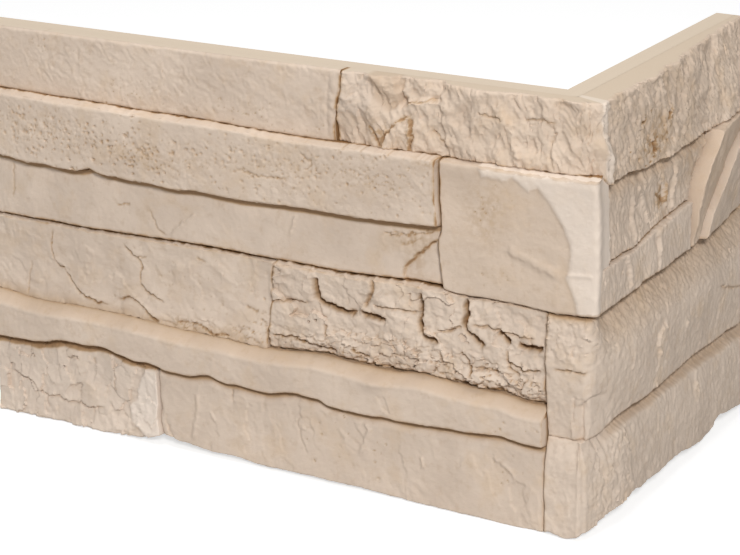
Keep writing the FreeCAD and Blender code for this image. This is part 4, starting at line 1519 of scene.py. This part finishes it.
@dataclass
class LowerCourse(Course):
    """The cracked lower stone, the broken rough one, and the ledge under them."""

    smooth_depth: float = 22.3
    rough_depth: float = 23.8
    ledge_depth: float = 30.6

    def stones(self) -> list[Stone]:
        """The stones of the course.

        Returns:
            The stones, the left one first.
        """
        smooth = Stone(
            "lower_left_stone", Leg.LONG, self.smooth_depth, LEDGE_TOP, MIDDLE_JOINT, LEFT_END,
            ROUGH_SPLIT, lean=-0.2, seed=61, rounds=(0.3, 1.0, 1.2, 1.4), ragged=0.6, foot_gap=0.0,
            joint_top=19.5, joint_right=20.5, raw=Edge.LEFT, edge_stain=(0.0, 0.4, 0.0, 0.9),
            top_gap=0.85,
            marks=(
                Unevenness(0.8, 46.0, 63, octaves=2),
                Unevenness(0.26, 8.0, 64, octaves=4, patches=34.0),
                Crack(((-282.3, 102.7), (-283.8, 97.6), (-284.7, 92.6), (-284.5, 87.8),
                       (-281.9, 83.8), (-277.4, 82), (-274.8, 78.6), (-269.9, 74.5), (-265.6, 70.8),
                       (-261, 68.6), (-254.4, 67.3), (-247.6, 67.5)), 1.3, 0.53, lip=0.7,
                      stain=0.56),
                Crack(((-237, 101.9), (-232.9, 97.8), (-228, 95.2), (-225.5, 91.4), (-227.5, 85.3),
                       (-227.2, 80.6), (-223.6, 77.4), (-217, 75.6), (-212.2, 74)), 1.2, 0.53,
                      lip=0.6, stain=0.52),
                Crack(((-228, 96.2), (-222, 96.2)), 0.7, 0.42, stain=0.35),
                Crack(((-241.7, 71.4), (-239, 70.9), (-234.9, 73.5), (-230.5, 72.3), (-226.2, 69.2),
                       (-221.4, 65.7), (-215.5, 63.3)), 1.5, 0.59, lip=0.9, stain=0.59),
                Crack(((-299.4, 83.4), (-301.9, 74.2), (-303.3, 64)), 0.6, 0.42, stain=0.21),
                *cracks((((-191.9, 101.4), (-186.6, 99.5)), ((-164, 80.2), (-156.3, 77.8))), 0.8,
                        0.42, stain=0.42),
                Crack(((-204.4, 65.3), (-193.5, 66.2), (-182.9, 62.8), (-172, 62.8)), 0.9, 0.53,
                      stain=0.42, wander=1.2),
                Pits((-154, 72), (8, 7), share=0.9, seed=63, depth=1.1, size=0.8),
                Pits((-200, 85), (40, 14), share=0.25, seed=64, depth=0.5, stain=0.3),
                vein(((-150, 62), (-148.6, 75), (-149, 88), (-148.4, 104)), 0.7, 1.2, wander=0.3),
                Flake(((-268, 93), (-262, 98), (-255, 94), (-256, 88), (-264, 87)), 0.3, 0.8),
                Facets(0.35, 16.0, 66, tilt=1.0),
                Facets(0.9, 4.6, 67, stretch=1.4, crack=0.7, crack_width=0.12, stain=0.4, warp=0.35,
                       patch=(-178, 65, 32, 4)),
                Unevenness(0.5, 12.0, 68, octaves=3, patches=30.0),
                Slope(fading((0, 0.9), (2, 0.4), (5, 0)), from_top=False,
                      stain=fading((0, 0.34), (2, 0.2), (6, 0)), wander=1.4),
            ),
        )
        rough = Stone(
            "rough_stone", Leg.LONG, self.rough_depth, LEDGE_TOP, MIDDLE_JOINT, ROUGH_SPLIT,
            COLUMN_EDGE, lean=-0.6, seed=71, pitch=0.5, rounds=(1.2, 1.0, 1.1, 0.9), ragged=0.7,
            joint_foot=20.5, joint_top=20.5, joint_left=22.0, joint_right=22.0, grain=0.2,
            edge_stain=(1.0, 0.3, 0.95, 0.4), top_gap=0.75,
            marks=self.rough_marks(),
        )
        ledge = Stone(
            "ledge_stone", Leg.LONG, self.ledge_depth, LEDGE_FOOT, LEDGE_TOP, LEFT_END,
            COLUMN_SPLIT, seed=81, rounds=(0.7, 0.3, 1.2, 0.9), ragged=0.3, joint_foot=27.5,
            joint_right=27.0, top_gap=0.0, raw=Edge.LEFT,
            marks=(
                Unevenness(0.6, 40.0, 83, octaves=2),
                Unevenness(0.2, 9.0, 84, stretch=0.8, turn=20.0, octaves=4, patches=40.0),
                # cove along the top: brown patina in the hollow, with painted shade that darkens
                # the upward-facing slope
                Slope(((0, -7.6), (1, -6.6), (3, -3.2), (4.4, -0.8), (5.4, -0.1), (7, 0), (40, 0)),
                      stain=((0, 0.46), (1, 0.3), (2.6, 0.2), (4.2, 0.12), (5.6, 0.02), (6.8, 0),
                             (40, 0)), wander=0.25),
                Flake(((-84.1, 50.6), (-80.3, 51.5), (-78, 46.4), (-76.6, 42.7), (-80.4, 44.2),
                       (-82.2, 47.4)), -0.5, 0.5),
                Hollow((-84, 58), (9, 3.5), -2.2, turn=15.0),
                Pits((-10, 47), (20, 6), share=0.1, seed=83, depth=0.5),
            ),
        )
        return [smooth, rough, ledge]

    def rough_marks(self) -> tuple[Mark, ...]:
        """The blocks and cracks of the rough stone.

        Returns:
            Its marks, in the order in which they are carved.
        """
        deep = {"depth": 5.0, "width": 1.25, "stain": 1.0, "lip": 1.3}
        thin = {"depth": 1.6, "width": 0.6, "stain": 0.4, "lip": 0.7}
        return (
            Unevenness(0.9, 22.0, 73, octaves=3),
            Facets(1.5, 17.0, 75, stretch=1.4, tilt=1.0, warp=0.3),
            Unevenness(0.7, 7.0, 79, stretch=1.3, octaves=4, gain=0.5),
            Facets(1.5, 5.5, 76, stretch=1.3, tilt=1.2, crack=1.3, crack_width=0.12, stain=0.5,
                   warp=0.35, patch=(-60, 69, 70, 9)),
            Unevenness(0.2, 2.6, 78, octaves=2, gain=0.7, patches=14.0),
            Crack(((-122.6, 102.8), (-121.6, 98.2), (-121.2, 92.6), (-117.7, 89.9), (-110.4, 88.7),
                   (-105.2, 87.7), (-99, 87.9)), **deep),
            Crack(((-89.5, 107), (-89.6, 101.6), (-91.7, 97.5), (-95, 92)), 2.2, 1.06, lip=-0.9,
                  stain=0.49),
            Crack(((-96.9, 89.6), (-93.9, 88.7), (-87.8, 87.9), (-83, 87.4)), **deep),
            Crack(((-63.4, 105), (-63.5, 94), (-64.5, 90.1), (-63.1, 85.7), (-61.6, 83.1),
                   (-53.7, 82)), **deep),
            Crack(((-38.4, 105.5), (-39.4, 100.9), (-38.4, 98.3), (-40.3, 93.4), (-38.9, 89.9),
                   (-35, 86.9), (-31.1, 84.9), (-30.6, 82)), **deep),
            Crack(((-36, 93.2), (-27.2, 93.8), (-20.5, 92.7), (-10.9, 92), (-3.3, 91.7)), **thin),
            Crack(((-22.5, 92), (-16, 88)), **deep),
            Crack(((-11.9, 88.3), (-7.1, 86.9), (0.5, 87.6)), **deep),
            Crack(((-147, 86.9), (-134.5, 88.9), (-127, 88.3)), **thin),
            Crack(((-148, 68.5), (-137.2, 69.7), (-126.6, 68.7), (-118.2, 67.4), (-110.9, 65.8)),
                  2.0, 0.59, lip=0.8, stain=0.63),
            Crack(((-116.3, 80.1), (-115.9, 73.5)), **thin),
            Crack(((-101.4, 70.4), (-98.4, 68.1), (-92.2, 66.8)), 2.0, 0.59, stain=0.63),
            Crack(((-89.7, 94.1), (-77.6, 93.9), (-65.5, 93.6)), **thin),
            Crack(((-54, 86.8), (-48.7, 88.2), (-42.8, 91.5)), **thin),
            Crack(((-42.3, 79.2), (-38.9, 76.1), (-36.9, 72.7), (-36.9, 67)), 2.4, 0.59, lip=0.7,
                  stain=0.63),
            Crack(((-53.2, 77.2), (-52.2, 71.8)), **thin),
            Crack(((-36, 72), (-29.1, 72.8), (-22.3, 71.7)), **thin),
            Crack(((-19.5, 79.6), (-13.7, 77), (-9.9, 75.4), (-0.3, 76.6)), 2.0, 0.59, lip=0.8,
                  stain=0.63),
            Crack(((-17.6, 83.6), (-16.6, 75.6), (-11.7, 72)), **thin),
            Flake(((-122, 108), (-122, 92), (-118, 90), (-98, 88), (-96, 92), (-90, 98),
                   (-90, 108)), -0.9, 1.2, wander=0.4),
            Flake(((-147, 90), (-147, 108), (-124, 108), (-123.5, 90)), 0.5, 1.0, wander=0.4),
            Flake(((-62, 108), (-62, 84), (-41, 92), (-40, 108)), 0.5, 1.0, wander=0.4),
            Slope(fading((0, -1.6), (2.5, -0.5), (5, 0.3), (10, 0)), from_top=False, wander=1.2),
            Crack(((-92, 63.5), (-84, 63.2), (-76, 62.4)), 1.5, 0.79, stain=0.63),
            *cracks((((-47, 63.8), (-38, 62.6), (-33, 63)), ((-30, 62.8), (-20, 62.4))), 1.8, 0.92,
                    stain=0.66),
        )


@dataclass
class FootCourse(Course):
    """The split and the smooth stone of the lowest course of the long leg."""

    split_depth: float = 28.4
    smooth_depth: float = 28.8

    def stones(self) -> list[Stone]:
        """The stones of the course.

        Returns:
            The stones, the left one first.
        """
        split = Stone(
            "foot_left_stone", Leg.LONG, self.split_depth, FOOT, LEDGE_FOOT, LEFT_END, FOOT_SPLIT,
            seed=91, rounds=(1.4, 1.0, 1.2, 0.7), foot_gap=0.0, joint_top=27.0,
            raw=Edge.FOOT | Edge.LEFT, grain=0.12, tone=-0.22, ragged=0.15,
            marks=(
                Unevenness(0.7, 30.0, 93, octaves=2),
                # the stain along the top is a dark brown band under the ledge: partly dirt, partly
                # painted shadow
                Slope(UNDER_LEDGE,
                      stain=fading((0, 1.1), (2, 1), (3.2, 0.8), (4.2, 0.2), (5.2, 0), (7, 0)),
                      wander=0.4),
                Facets(1.3, 11.0, 95, tilt=1.1, stretch=0.8),
                Slope(fading((0, 2), (5, 0.8), (10, 0)), from_top=False, wander=0.0),
                Unevenness(0.25, 5.0, 96, stretch=0.7, turn=8.0, octaves=3, patches=20.0),
                Crack(((-318, 21), (-312.2, 20), (-305.9, 19.3), (-300.7, 18), (-296.4, 15.4),
                       (-292.2, 12.7), (-286.9, 12.2), (-280.7, 12.7), (-278.2, 10.9), (-272, 10.5),
                       (-265, 11.5), (-260.8, 10.5), (-257.4, 10.4), (-247.8, 12.6)), 1.2, 0.59,
                      lip=0.8, stain=0.35),
                *cracks((((-288.7, 12.3), (-289.4, 8.3), (-287.4, 5.3)),
                         ((-257.4, 10.4), (-256.7, 7))), 0.8, 0.46, stain=0.28),
                *cracks((((-265.5, 37.3), (-264.3, 35.2)), ((-256.4, 37.8), (-254.9, 34.4))), 0.8,
                        0.53, stain=0.42),
                Crack(((-241, 37.7), (-242.3, 24.9), (-243.7, 22)), 0.7, 0.46, stain=0.42,
                      wander=1.2),
                # raised facet painted paler: partly a painted highlight on a facet that faces the
                # light
                Flake(((-222, 38), (-213, 40), (-211, 0), (-217.8, 0), (-232.6, 8.9), (-233.9, 16),
                       (-228.6, 20), (-228.3, 26)), 0.9, 2.2, tint_and_painted_highlight=-0.5),
                Flake(((-245.4, 9.4), (-244.2, 1.3), (-233, 2), (-226, 7), (-236.9, 9)), 0.7, 0.9),
                Hollow((-252, 24), (6, 9), 0.7),
            ),
        )
        smooth = Stone(
            "foot_stone", Leg.LONG, self.smooth_depth, FOOT, LEDGE_FOOT, FOOT_SPLIT, COLUMN_SPLIT,
            seed=101, rounds=(0.7, 0.6, 2.6, 0.9), foot_gap=0.0, joint_top=27.5, joint_left=25.0,
            joint_right=27.0, raw=Edge.FOOT,
            marks=(
                Unevenness(0.7, 44.0, 103, octaves=2),
                # the stain along the top is a brown band under the ledge: partly dirt, partly
                # painted shadow
                Slope(UNDER_LEDGE,
                      stain=fading((0, 0.62), (1.2, 0.55), (2.1, 0.35), (2.9, 0.04), (3.8, 0)),
                      wander=0.4),
                Unevenness(0.28, 10.0, 104, stretch=0.7, turn=12.0, octaves=4, patches=44.0),
                Facets(0.4, 32.0, 105, stretch=0.7, turn=10.0, tilt=1.0),
                Slope(fading((0, 1.2), (8, 0.5), (18, 0)), from_top=False),
                Crack(((-209.7, 17.6), (-210, 12), (-208.7, 7.8), (-205.3, 3.9)), 0.6, 0.46,
                      lip=-0.6, stain=0.1),
                Crack(((-168.5, 37.5), (-168.2, 31)), 0.9, 0.59, lip=0.8, stain=0.14),
                vein(((-190.7, 31.3), (-190, 22.4), (-192.7, 11), (-194, 5.3)), 0.7, 1.1, lip=0.3),
                vein(((-182, 23), (-179.2, 18.2)), 0.6, 0.8),
                Crack(((-128.7, 32.6), (-130.8, 26), (-129, 20.2), (-126.4, 14.6), (-125, 12.2)),
                      0.5, 0.42, lip=0.4, stain=0.07),
                vein(((-92.8, 35.3), (-90, 31.6), (-93, 24), (-96, 16.4)), 0.9, 0.9, lip=0.4),
                vein(((-107, 29), (-103.3, 24.5), (-105.3, 19)), 0.5, 0.9),
                vein(((-61.2, 23.9), (-59.8, 17.9)), 0.8, 0.7),
                vein(((-22.3, 31), (-15.9, 28), (-12.3, 24.4), (-11.4, 22)), 0.7, 0.8, lip=0.4),
                Flake(((-14, 17.8), (-10.4, 21.2), (-5.9, 20.4), (-6.8, 15), (-5, 11), (-9.4, 6),
                       (-13, 9.2)), -0.8, 0.8),
                Flake(((-3.5, 20), (1.5, 19), (3, 2), (-2.5, 3), (-4.5, 10)), 0.4, 0.8, wander=1.0),
                Pits((-92, 20), (26, 12), share=0.1, seed=93, depth=0.8, size=0.8),
                Pits((-15, 25), (12, 8), share=0.1, seed=94, depth=0.8),
            ),
        )
        return [split, smooth]


@dataclass
class CornerColumn(Course):
    """The two stones under the tall block, which turn the corner and run down the short leg."""

    lower: Turn = Turn(out_long=26.6, out_short=25.0, arris=3.2)
    foot: Turn = Turn(out_long=31.4, out_short=25.0, arris=3.6)

    def stones(self) -> list[Stone]:
        """Both stones.

        Returns:
            The upper one and the lowest.
        """
        low, base = self.lower, self.foot
        groove_long: Line = ((0, 47.0), (9, 46.8), (14, 47.0), (20, 46.9), (24, 47.3))
        upper = Stone(
            "lower_corner_stone", Leg.BOTH, 26.2, both(groove_long, SIDE_GROOVE, low),
            both(MIDDLE_JOINT, SIDE_MIDDLE_JOINT, low), COLUMN_SPLIT, far_end(low.shift), turn=low,
            side_depth=25.0, seed=111, pitch=0.66, rounds=(0.5, 1.2, 0.9, 1.2), joint_left=22.0,
            joint_right=22.0, foot_gap=0.15, joint_foot=22.0, joint_top=23.5, raw=Edge.RIGHT,
            grain=0.2, top_gap=0.75, edge_stain=(0.3, 0.4, 0.35, 0.0),
            marks=(
                Unevenness(0.6, 30.0, 113, octaves=2),
                Unevenness(0.3, 6.0, 114, octaves=4),
                Slope(fading((0, -0.8), (3, 0)), stain=fading((0, 0.5), (1.4, 0.2), (4, 0)),
                      wander=0.4),
                Crack(((8, 80.8), (15.9, 81), (19, 81.3), (22.2, 81), (24, 82)), 1.3, 0.53, lip=0.7,
                      stain=0.49),
                Facets(0.55, 8.0, 115, tilt=1.1, patch=(14, 93, 16, 12)),
                Flake(((18, 69), (23, 68), (27, 62), (27.5, 54), (23, 46), (19, 46), (17, 58)),
                      -1.0, 1.2, wander=0.3),
                vein(((20.5, 70), (18.6, 62), (17.8, 52), (17.6, 47)), 0.7, 1.0, wander=0.2),
            ),
            side_marks=(
                Shoulder(fading((0, -9), (5, -6.4), (10, -4), (16, -1.9), (24, -0.4), (30, 0)),
                         (-24, -4),
                         stain=fading((0, 0.34), (6, 0.24), (14, 0.14), (22, 0), (30, 0))),
                Swing(((-26, 0), (-16, 1.6), (-7, 2.7), (100, 2.8), (174, 1.4))),
                Unevenness(0.12, 8.0, 117, stretch=0.5, octaves=4, bend=0.3, patches=24.0),
                Facets(0.25, 30.0, 116, stretch=0.6, tilt=1.1, warp=0.12),
                Unevenness(0.5, 2.4, 118, octaves=3, gain=0.8, fade_down=(14, 26)),
                Flake(((-24, 69.6), (-14.6, 68.3), (-7.5, 60.3), (-7.1, 52.4), (-11.9, 44.7),
                       (-30, 44.7), (-30, 64)), -1.1, 1.8, wander=0.3, tint_and_painted_highlight=-0.08,
                      tilt=(0.12, -0.02)),
                vein(((49, 82.3), (40, 79.7), (38.6, 74.6), (41.8, 67)), 1.2, 0.9, lip=0.7),
                vein(((75, 75.5), (72.5, 72.3)), 1.0, 0.8),
                vein(((13, 80.8), (9.9, 74.8), (8.4, 71.5)), 0.6, 0.8),
                Crack(((118.3, 79.9), (125.3, 76.7), (139.3, 72), (160, 68)), 0.8, 0.53, lip=0.6,
                      stain=0.28),
            ),
        )
        lowest = Stone(
            "foot_corner_stone", Leg.BOTH, 31.0, both(FOOT, SIDE_FOOT, base),
            both(groove_long, SIDE_GROOVE, base), COLUMN_SPLIT, far_end(base.shift), turn=base,
            side_depth=25.0, seed=121, pitch=0.66, rounds=(0.9, 0.5, 0.9, 1.2), foot_gap=0.0,
            tone=-0.06, top_gap=0.15, joint_left=27.0, joint_top=18.0, raw=Edge.FOOT | Edge.RIGHT,
            grain=0.2, ragged=0.4,
            marks=(
                Unevenness(0.6, 30.0, 123, octaves=2),
                Unevenness(0.25, 8.0, 124, stretch=0.4, turn=6.0, octaves=4),
                Slope(fading((0, -4.2), (5, -2.4), (12, -0.8), (24, 0)), wander=0.4),
            ),
            side_marks=(
                Swing(((-31, 0), (-20, 2.1), (-9, 4.3), (-1, 5.9), (1, 6.1), (3, 6.1), (110, 6.1),
                       (174, 5))),
                Shoulder(fading((0, -5), (5.6, -2.2), (6.6, -0.5), (7.4, 0), (9, 0)), (-22, 4),
                         wander=0.4,
                         stain=fading((0, 0.4), (2, 0.27), (6.2, 0.23), (7, 0.08), (7.8, 0),
                                      (10, 0))),
                Unevenness(0.2, 7.0, 127, stretch=0.5, octaves=4, gain=0.6, bend=0.5, patches=26.0),
                Ridges(0.3, 7.0, 129, stretch=0.5, turn=6.0, octaves=3, gain=0.6, span=(-28, 12)),
                vein(((4, 47), (6.6, 37.5), (9.8, 20.9), (14, 8)), 0.5, 1.4, lip=-0.9, wander=0.9),
                vein(((91, 45), (88, 39.4), (91, 30)), 0.6, 0.8),
                Facets(0.3, 26.0, 128, stretch=0.6, tilt=1.2, warp=0.12),
                vein(((89.5, 38), (85.9, 34.4)), 0.9, 0.7),
            ),
        )
        return [upper, lowest]


@dataclass
class SideStones(Course):
    """The two stones of the short leg beside the tall block, and the shale behind them."""

    upper_depth: float = 26.6
    middle_depth: float = 27.2
    shale_depth: float = 31.0

    def stones(self) -> list[Stone]:
        """All four.

        Returns:
            The two beside the tall block, then the two of shale.
        """
        start = upright(-22.6)
        upper = Stone(
            "side_upper_stone", Leg.SHORT, self.upper_depth, SIDE_UPPER_JOINT, SIDE_TOP_JOINT,
            start, SIDE_UPPER_END, seed=131, rounds=(0.8, 2.0, 1.0, 1.0), joint_top=23.5,
            joint_foot=24.0, lean=0.6, grain=0.12, tone=0.04,
            marks=(
                Unevenness(0.7, 20.0, 133, octaves=2),
                Ridges(0.26, 10.0, 134, stretch=0.45, turn=8.0, octaves=4, gain=0.62),
                Stain((88, 150), (12, 12), 0.2, seed=42),
                # paler strip at the end beside the corner: a painted highlight, with a slight rise
                Flake(((-26, 170), (-26, 120), (-8, 120), (-7.5, 161)), 0.2, 1.6, wander=0.3,
                      tint_and_painted_highlight=-0.5, tilt=(0.12, 0)),
                Slope(fading((0, 0), (4.6, 0), (5.6, 0.5), (7, 0)), wander=0.6),
                Slope(fading((0, -4.6), (4, -3), (9, -0.8), (14, 0)),
                      stain=fading((0, 0.3), (6, 0.12), (12, 0)), wander=1.2),
                Swing(((-22.5, -1.4), (-20, -0.4), (-18, 0.7), (-17, 0.8), (-15.5, 0), (-14, 0),
                       (0, 0), (200, 0))),
                vein(((18.6, 154), (19.4, 141), (21.7, 130)), 1.2, 1.2, lip=0.5),
                vein(((24.8, 156), (29.7, 150.8), (33.7, 142), (35.3, 134.8)), 1.3, 1.2, lip=0.5),
                vein(((5, 157), (5.8, 151.5)), 0.8, 0.8),
                *veins((((57, 150), (56.3, 141), (58.9, 137)),
                        ((70, 155), (63.6, 141), (63.4, 135))), 1.4, 1.0, lip=0.5),
                Stain((53, 144), (7, 8), 0.7, seed=41),
                Crack(((45, 147.6), (53.8, 142), (55.3, 137.7)), 0.8, 0.66, stain=0.42),
            ),
        )
        middle = Stone(
            "side_middle_stone", Leg.SHORT, self.middle_depth, SIDE_MIDDLE_JOINT, SIDE_UPPER_JOINT,
            start, SIDE_MIDDLE_END, seed=141, rounds=(1.2, 0.9, 1.0, 1.6), joint_foot=22.0,
            joint_top=24.5,
            marks=(
                Unevenness(0.7, 22.0, 143, octaves=2),
                Ridges(0.16, 9.0, 144, stretch=0.4, turn=6.0, octaves=4, gain=0.6),
                vein(((43.9, 129.9), (45.5, 123.9), (44.8, 116.5)), 0.9, 0.9, lip=0.6),
                vein(((8.7, 128.7), (12.1, 118.8), (13.7, 109.8)), 1.1, 1.0, lip=0.8),
                Flake(((44, 134), (45.5, 124), (44, 106), (90, 106), (90, 134)), 0.6, 1.2,
                      wander=0.3),
            ),
        )
        first = Stone(
            "first_shale_layer", Leg.SHORT, self.shale_depth, SIDE_MIDDLE_JOINT, SIDE_TOP_JOINT,
            ((106, 86), (133.5, 87.5), (140, 89.8), (150, 98.2), (158, 108.7), (166, 114.2)),
            SHALE_RIDGE, seed=151, rounds=(0.8, 1.0, 1.0, 0.6), joint_top=20.0, joint_foot=20.0,
            tone=0.18, marks=(Tilt((87.0, 134.0), 42.0, 0.2), *self.shale_marks(161)),
        )
        second = Stone(
            "second_shale_layer", Leg.SHORT, self.shale_depth - 1.0, SIDE_MIDDLE_JOINT,
            ((90, 160.2), (172, 160.2)), shifted(SHALE_RIDGE, 0.4), far_end(),
            seed=152, rounds=(0.8, 1.0, 0.6, 1.2), joint_top=20.0, joint_foot=20.0,
            raw=Edge.RIGHT, tone=0.06,
            marks=(Tilt((97.0, 108.0), 42.0, 0.2), *self.shale_marks(171)),
        )
        return [upper, middle, first, second]

    def shale_marks(self, seed: int) -> tuple[Mark, ...]:
        """The even face of a shale layer, with a few long ripples along the climb."""
        return (
            Unevenness(0.5, 30.0, seed, octaves=2),
            Unevenness(0.4, 6.0, seed + 1, stretch=2.4, turn=52.0, octaves=4, gain=0.6),
        )


@dataclass(frozen=True)
class Viewpoint:
    """The camera, set where the photo was taken from."""

    place: tuple[float, float, float] = (446.25, -932.78, 475.23)
    yaw: float = 30.58
    pitch: float = 19.14
    roll: float = -0.85
    lens: float = 114.665
    sensor: float = 36.0
    nearest: float = 0.05
    farthest: float = 50.0

    def build(self) -> None:
        """Make the camera: it looks yaw to the left of +Y and pitch below the horizon."""
        yaw, pitch, roll = (math.radians(v) for v in (self.yaw, self.pitch, self.roll))
        flat = math.cos(pitch)
        ahead = Vector((-math.sin(yaw) * flat, math.cos(yaw) * flat, -math.sin(pitch)))
        level = Vector((math.cos(yaw), math.sin(yaw), 0.0))
        raised = level.cross(ahead)
        right = math.cos(roll) * level + math.sin(roll) * raised
        up = -math.sin(roll) * level + math.cos(roll) * raised
        data = bpy.data.cameras.new("viewpoint")
        data.sensor_width = self.sensor
        data.lens = self.lens
        data.clip_start, data.clip_end = self.nearest, self.farthest
        camera = bpy.data.objects.new("viewpoint", data)
        facing = Matrix((right, up, -ahead)).transposed().to_4x4()
        camera.matrix_world = Matrix.Translation(Vector(self.place) * MM) @ facing
        bpy.context.scene.collection.objects.link(camera)
        bpy.context.scene.camera = camera


@dataclass(frozen=True)
class Lamp:
    """A soft square lamp that is aimed at the object."""

    name: str
    place: tuple[float, float, float]
    side: float
    watts: float
    aim: tuple[float, float, float] = (-0.1, 0.0, 0.1)

    def build(self) -> None:
        """Hang the lamp and turn it to the middle of the object."""
        data = bpy.data.lights.new(self.name, "AREA")
        data.size = self.side
        data.energy = self.watts
        lamp = bpy.data.objects.new(self.name, data)
        lamp.location = self.place
        lamp.rotation_mode = "QUATERNION"
        lamp.rotation_quaternion = (Vector(self.aim) - Vector(self.place)).to_track_quat("-Z", "Y")
        bpy.context.scene.collection.objects.link(lamp)


@dataclass
class Studio:
    """A pale floor, a white surround and soft lamps."""

    floor_side: float = 12.0
    floor_drop: float = 0.0004
    floor_colour: tuple[float, float, float] = (0.6, 0.6, 0.6)
    floor_glow: float = 0.62
    ambient: float = 0.2
    lamps: tuple[Lamp, ...] = (
        Lamp("top_lamp", (-0.3, -0.2, 2.2), 1.2, 22.0),
        Lamp("key_lamp", (1.15, -1.75, 1.45), 0.35, 44.0),
    )

    def build(self) -> None:
        """Make the floor, the surround and the lamps."""
        self.floor()
        self.surround()
        for lamp in self.lamps:
            lamp.build()

    def floor(self) -> None:
        """A level square under the object, white to the camera where it isn't shaded."""
        half = self.floor_side / 2.0
        mesh = bpy.data.meshes.new("floor")
        corners = [(-half, -half, 0.0), (half, -half, 0.0), (half, half, 0.0), (-half, half, 0.0)]
        mesh.from_pydata(corners, [], [(0, 1, 2, 3)])
        piece = bpy.data.objects.new("floor", mesh)
        bpy.context.scene.collection.objects.link(piece)
        piece.location.z = -self.floor_drop
        paint = bpy.data.materials.new("pale floor")
        paint.use_nodes = True
        nodes, links = paint.node_tree.nodes, paint.node_tree.links
        shader = nodes["Principled BSDF"]
        shader.inputs["Base Color"].default_value = (*self.floor_colour, 1.0)
        shader.inputs["Roughness"].default_value = 1.0
        shader.inputs["Specular IOR Level"].default_value = 0.0
        glow = nodes.new("ShaderNodeEmission")
        glow.inputs["Strength"].default_value = self.floor_glow
        seen = nodes.new("ShaderNodeLightPath")
        dark = nodes.new("ShaderNodeEmission")
        dark.inputs["Strength"].default_value = 0.0
        pick, total = nodes.new("ShaderNodeMixShader"), nodes.new("ShaderNodeAddShader")
        links.new(seen.outputs["Is Camera Ray"], pick.inputs["Fac"])
        links.new(dark.outputs[0], pick.inputs[1])
        links.new(glow.outputs[0], pick.inputs[2])
        links.new(shader.outputs[0], total.inputs[0])
        links.new(pick.outputs[0], total.inputs[1])
        links.new(total.outputs[0], nodes["Material Output"].inputs["Surface"])
        piece.data.materials.append(paint)

    def surround(self) -> None:
        """Even light from all round, which the camera and reflections see as white."""
        world = bpy.data.worlds.new("surround")
        bpy.context.scene.world = world
        world.use_nodes = True
        nodes, links = world.node_tree.nodes, world.node_tree.links
        even = nodes["Background"]
        even.inputs["Color"].default_value = (1.0, 1.0, 1.0, 1.0)
        even.inputs["Strength"].default_value = self.ambient
        white = nodes.new("ShaderNodeBackground")
        white.inputs["Strength"].default_value = 1.0
        seen = nodes.new("ShaderNodeLightPath")
        either, any_of = nodes.new("ShaderNodeMath"), nodes.new("ShaderNodeMath")
        either.operation = any_of.operation = "MAXIMUM"
        links.new(seen.outputs["Is Camera Ray"], either.inputs[0])
        links.new(seen.outputs["Is Glossy Ray"], either.inputs[1])
        links.new(either.outputs[0], any_of.inputs[0])
        links.new(seen.outputs["Is Transmission Ray"], any_of.inputs[1])
        mix = nodes.new("ShaderNodeMixShader")
        links.new(any_of.outputs[0], mix.inputs["Fac"])
        links.new(even.outputs[0], mix.inputs[1])
        links.new(white.outputs[0], mix.inputs[2])
        links.new(mix.outputs[0], nodes["World Output"].inputs["Surface"])


@dataclass
class CladdingCorner:
    """The whole casting: its backing and the stones of its courses."""

    finish: StoneFinish = StoneFinish()
    courses: tuple[Course, ...] = field(
        default_factory=lambda: (
            TopCourse(), UpperCourse(), LowerCourse(), FootCourse(), CornerColumn(), SideStones(),
        )
    )

    def build(self) -> list[bpy.types.Object]:
        """Build and dress every piece.

        Returns:
            The pieces, backing first.
        """
        cast = self.finish.material()
        pieces = [Backing().build()]
        pieces += [stone.build() for course in self.courses for stone in course.stones()]
        for piece in pieces:
            piece.data.materials.append(cast)
            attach(piece, "root")
            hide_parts(NODE)
            LOG.info("%s: %d faces", piece.name, len(piece.data.polygons))
        return pieces


def main() -> None:
    """Build the scene piece by piece."""
    logging.basicConfig(level=logging.INFO)
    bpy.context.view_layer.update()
    bpy.context.scene.view_settings.view_transform = "Standard"
    CladdingCorner().build()
    Studio().build()
    Viewpoint().build()


if __name__ == "__main__":
    main()
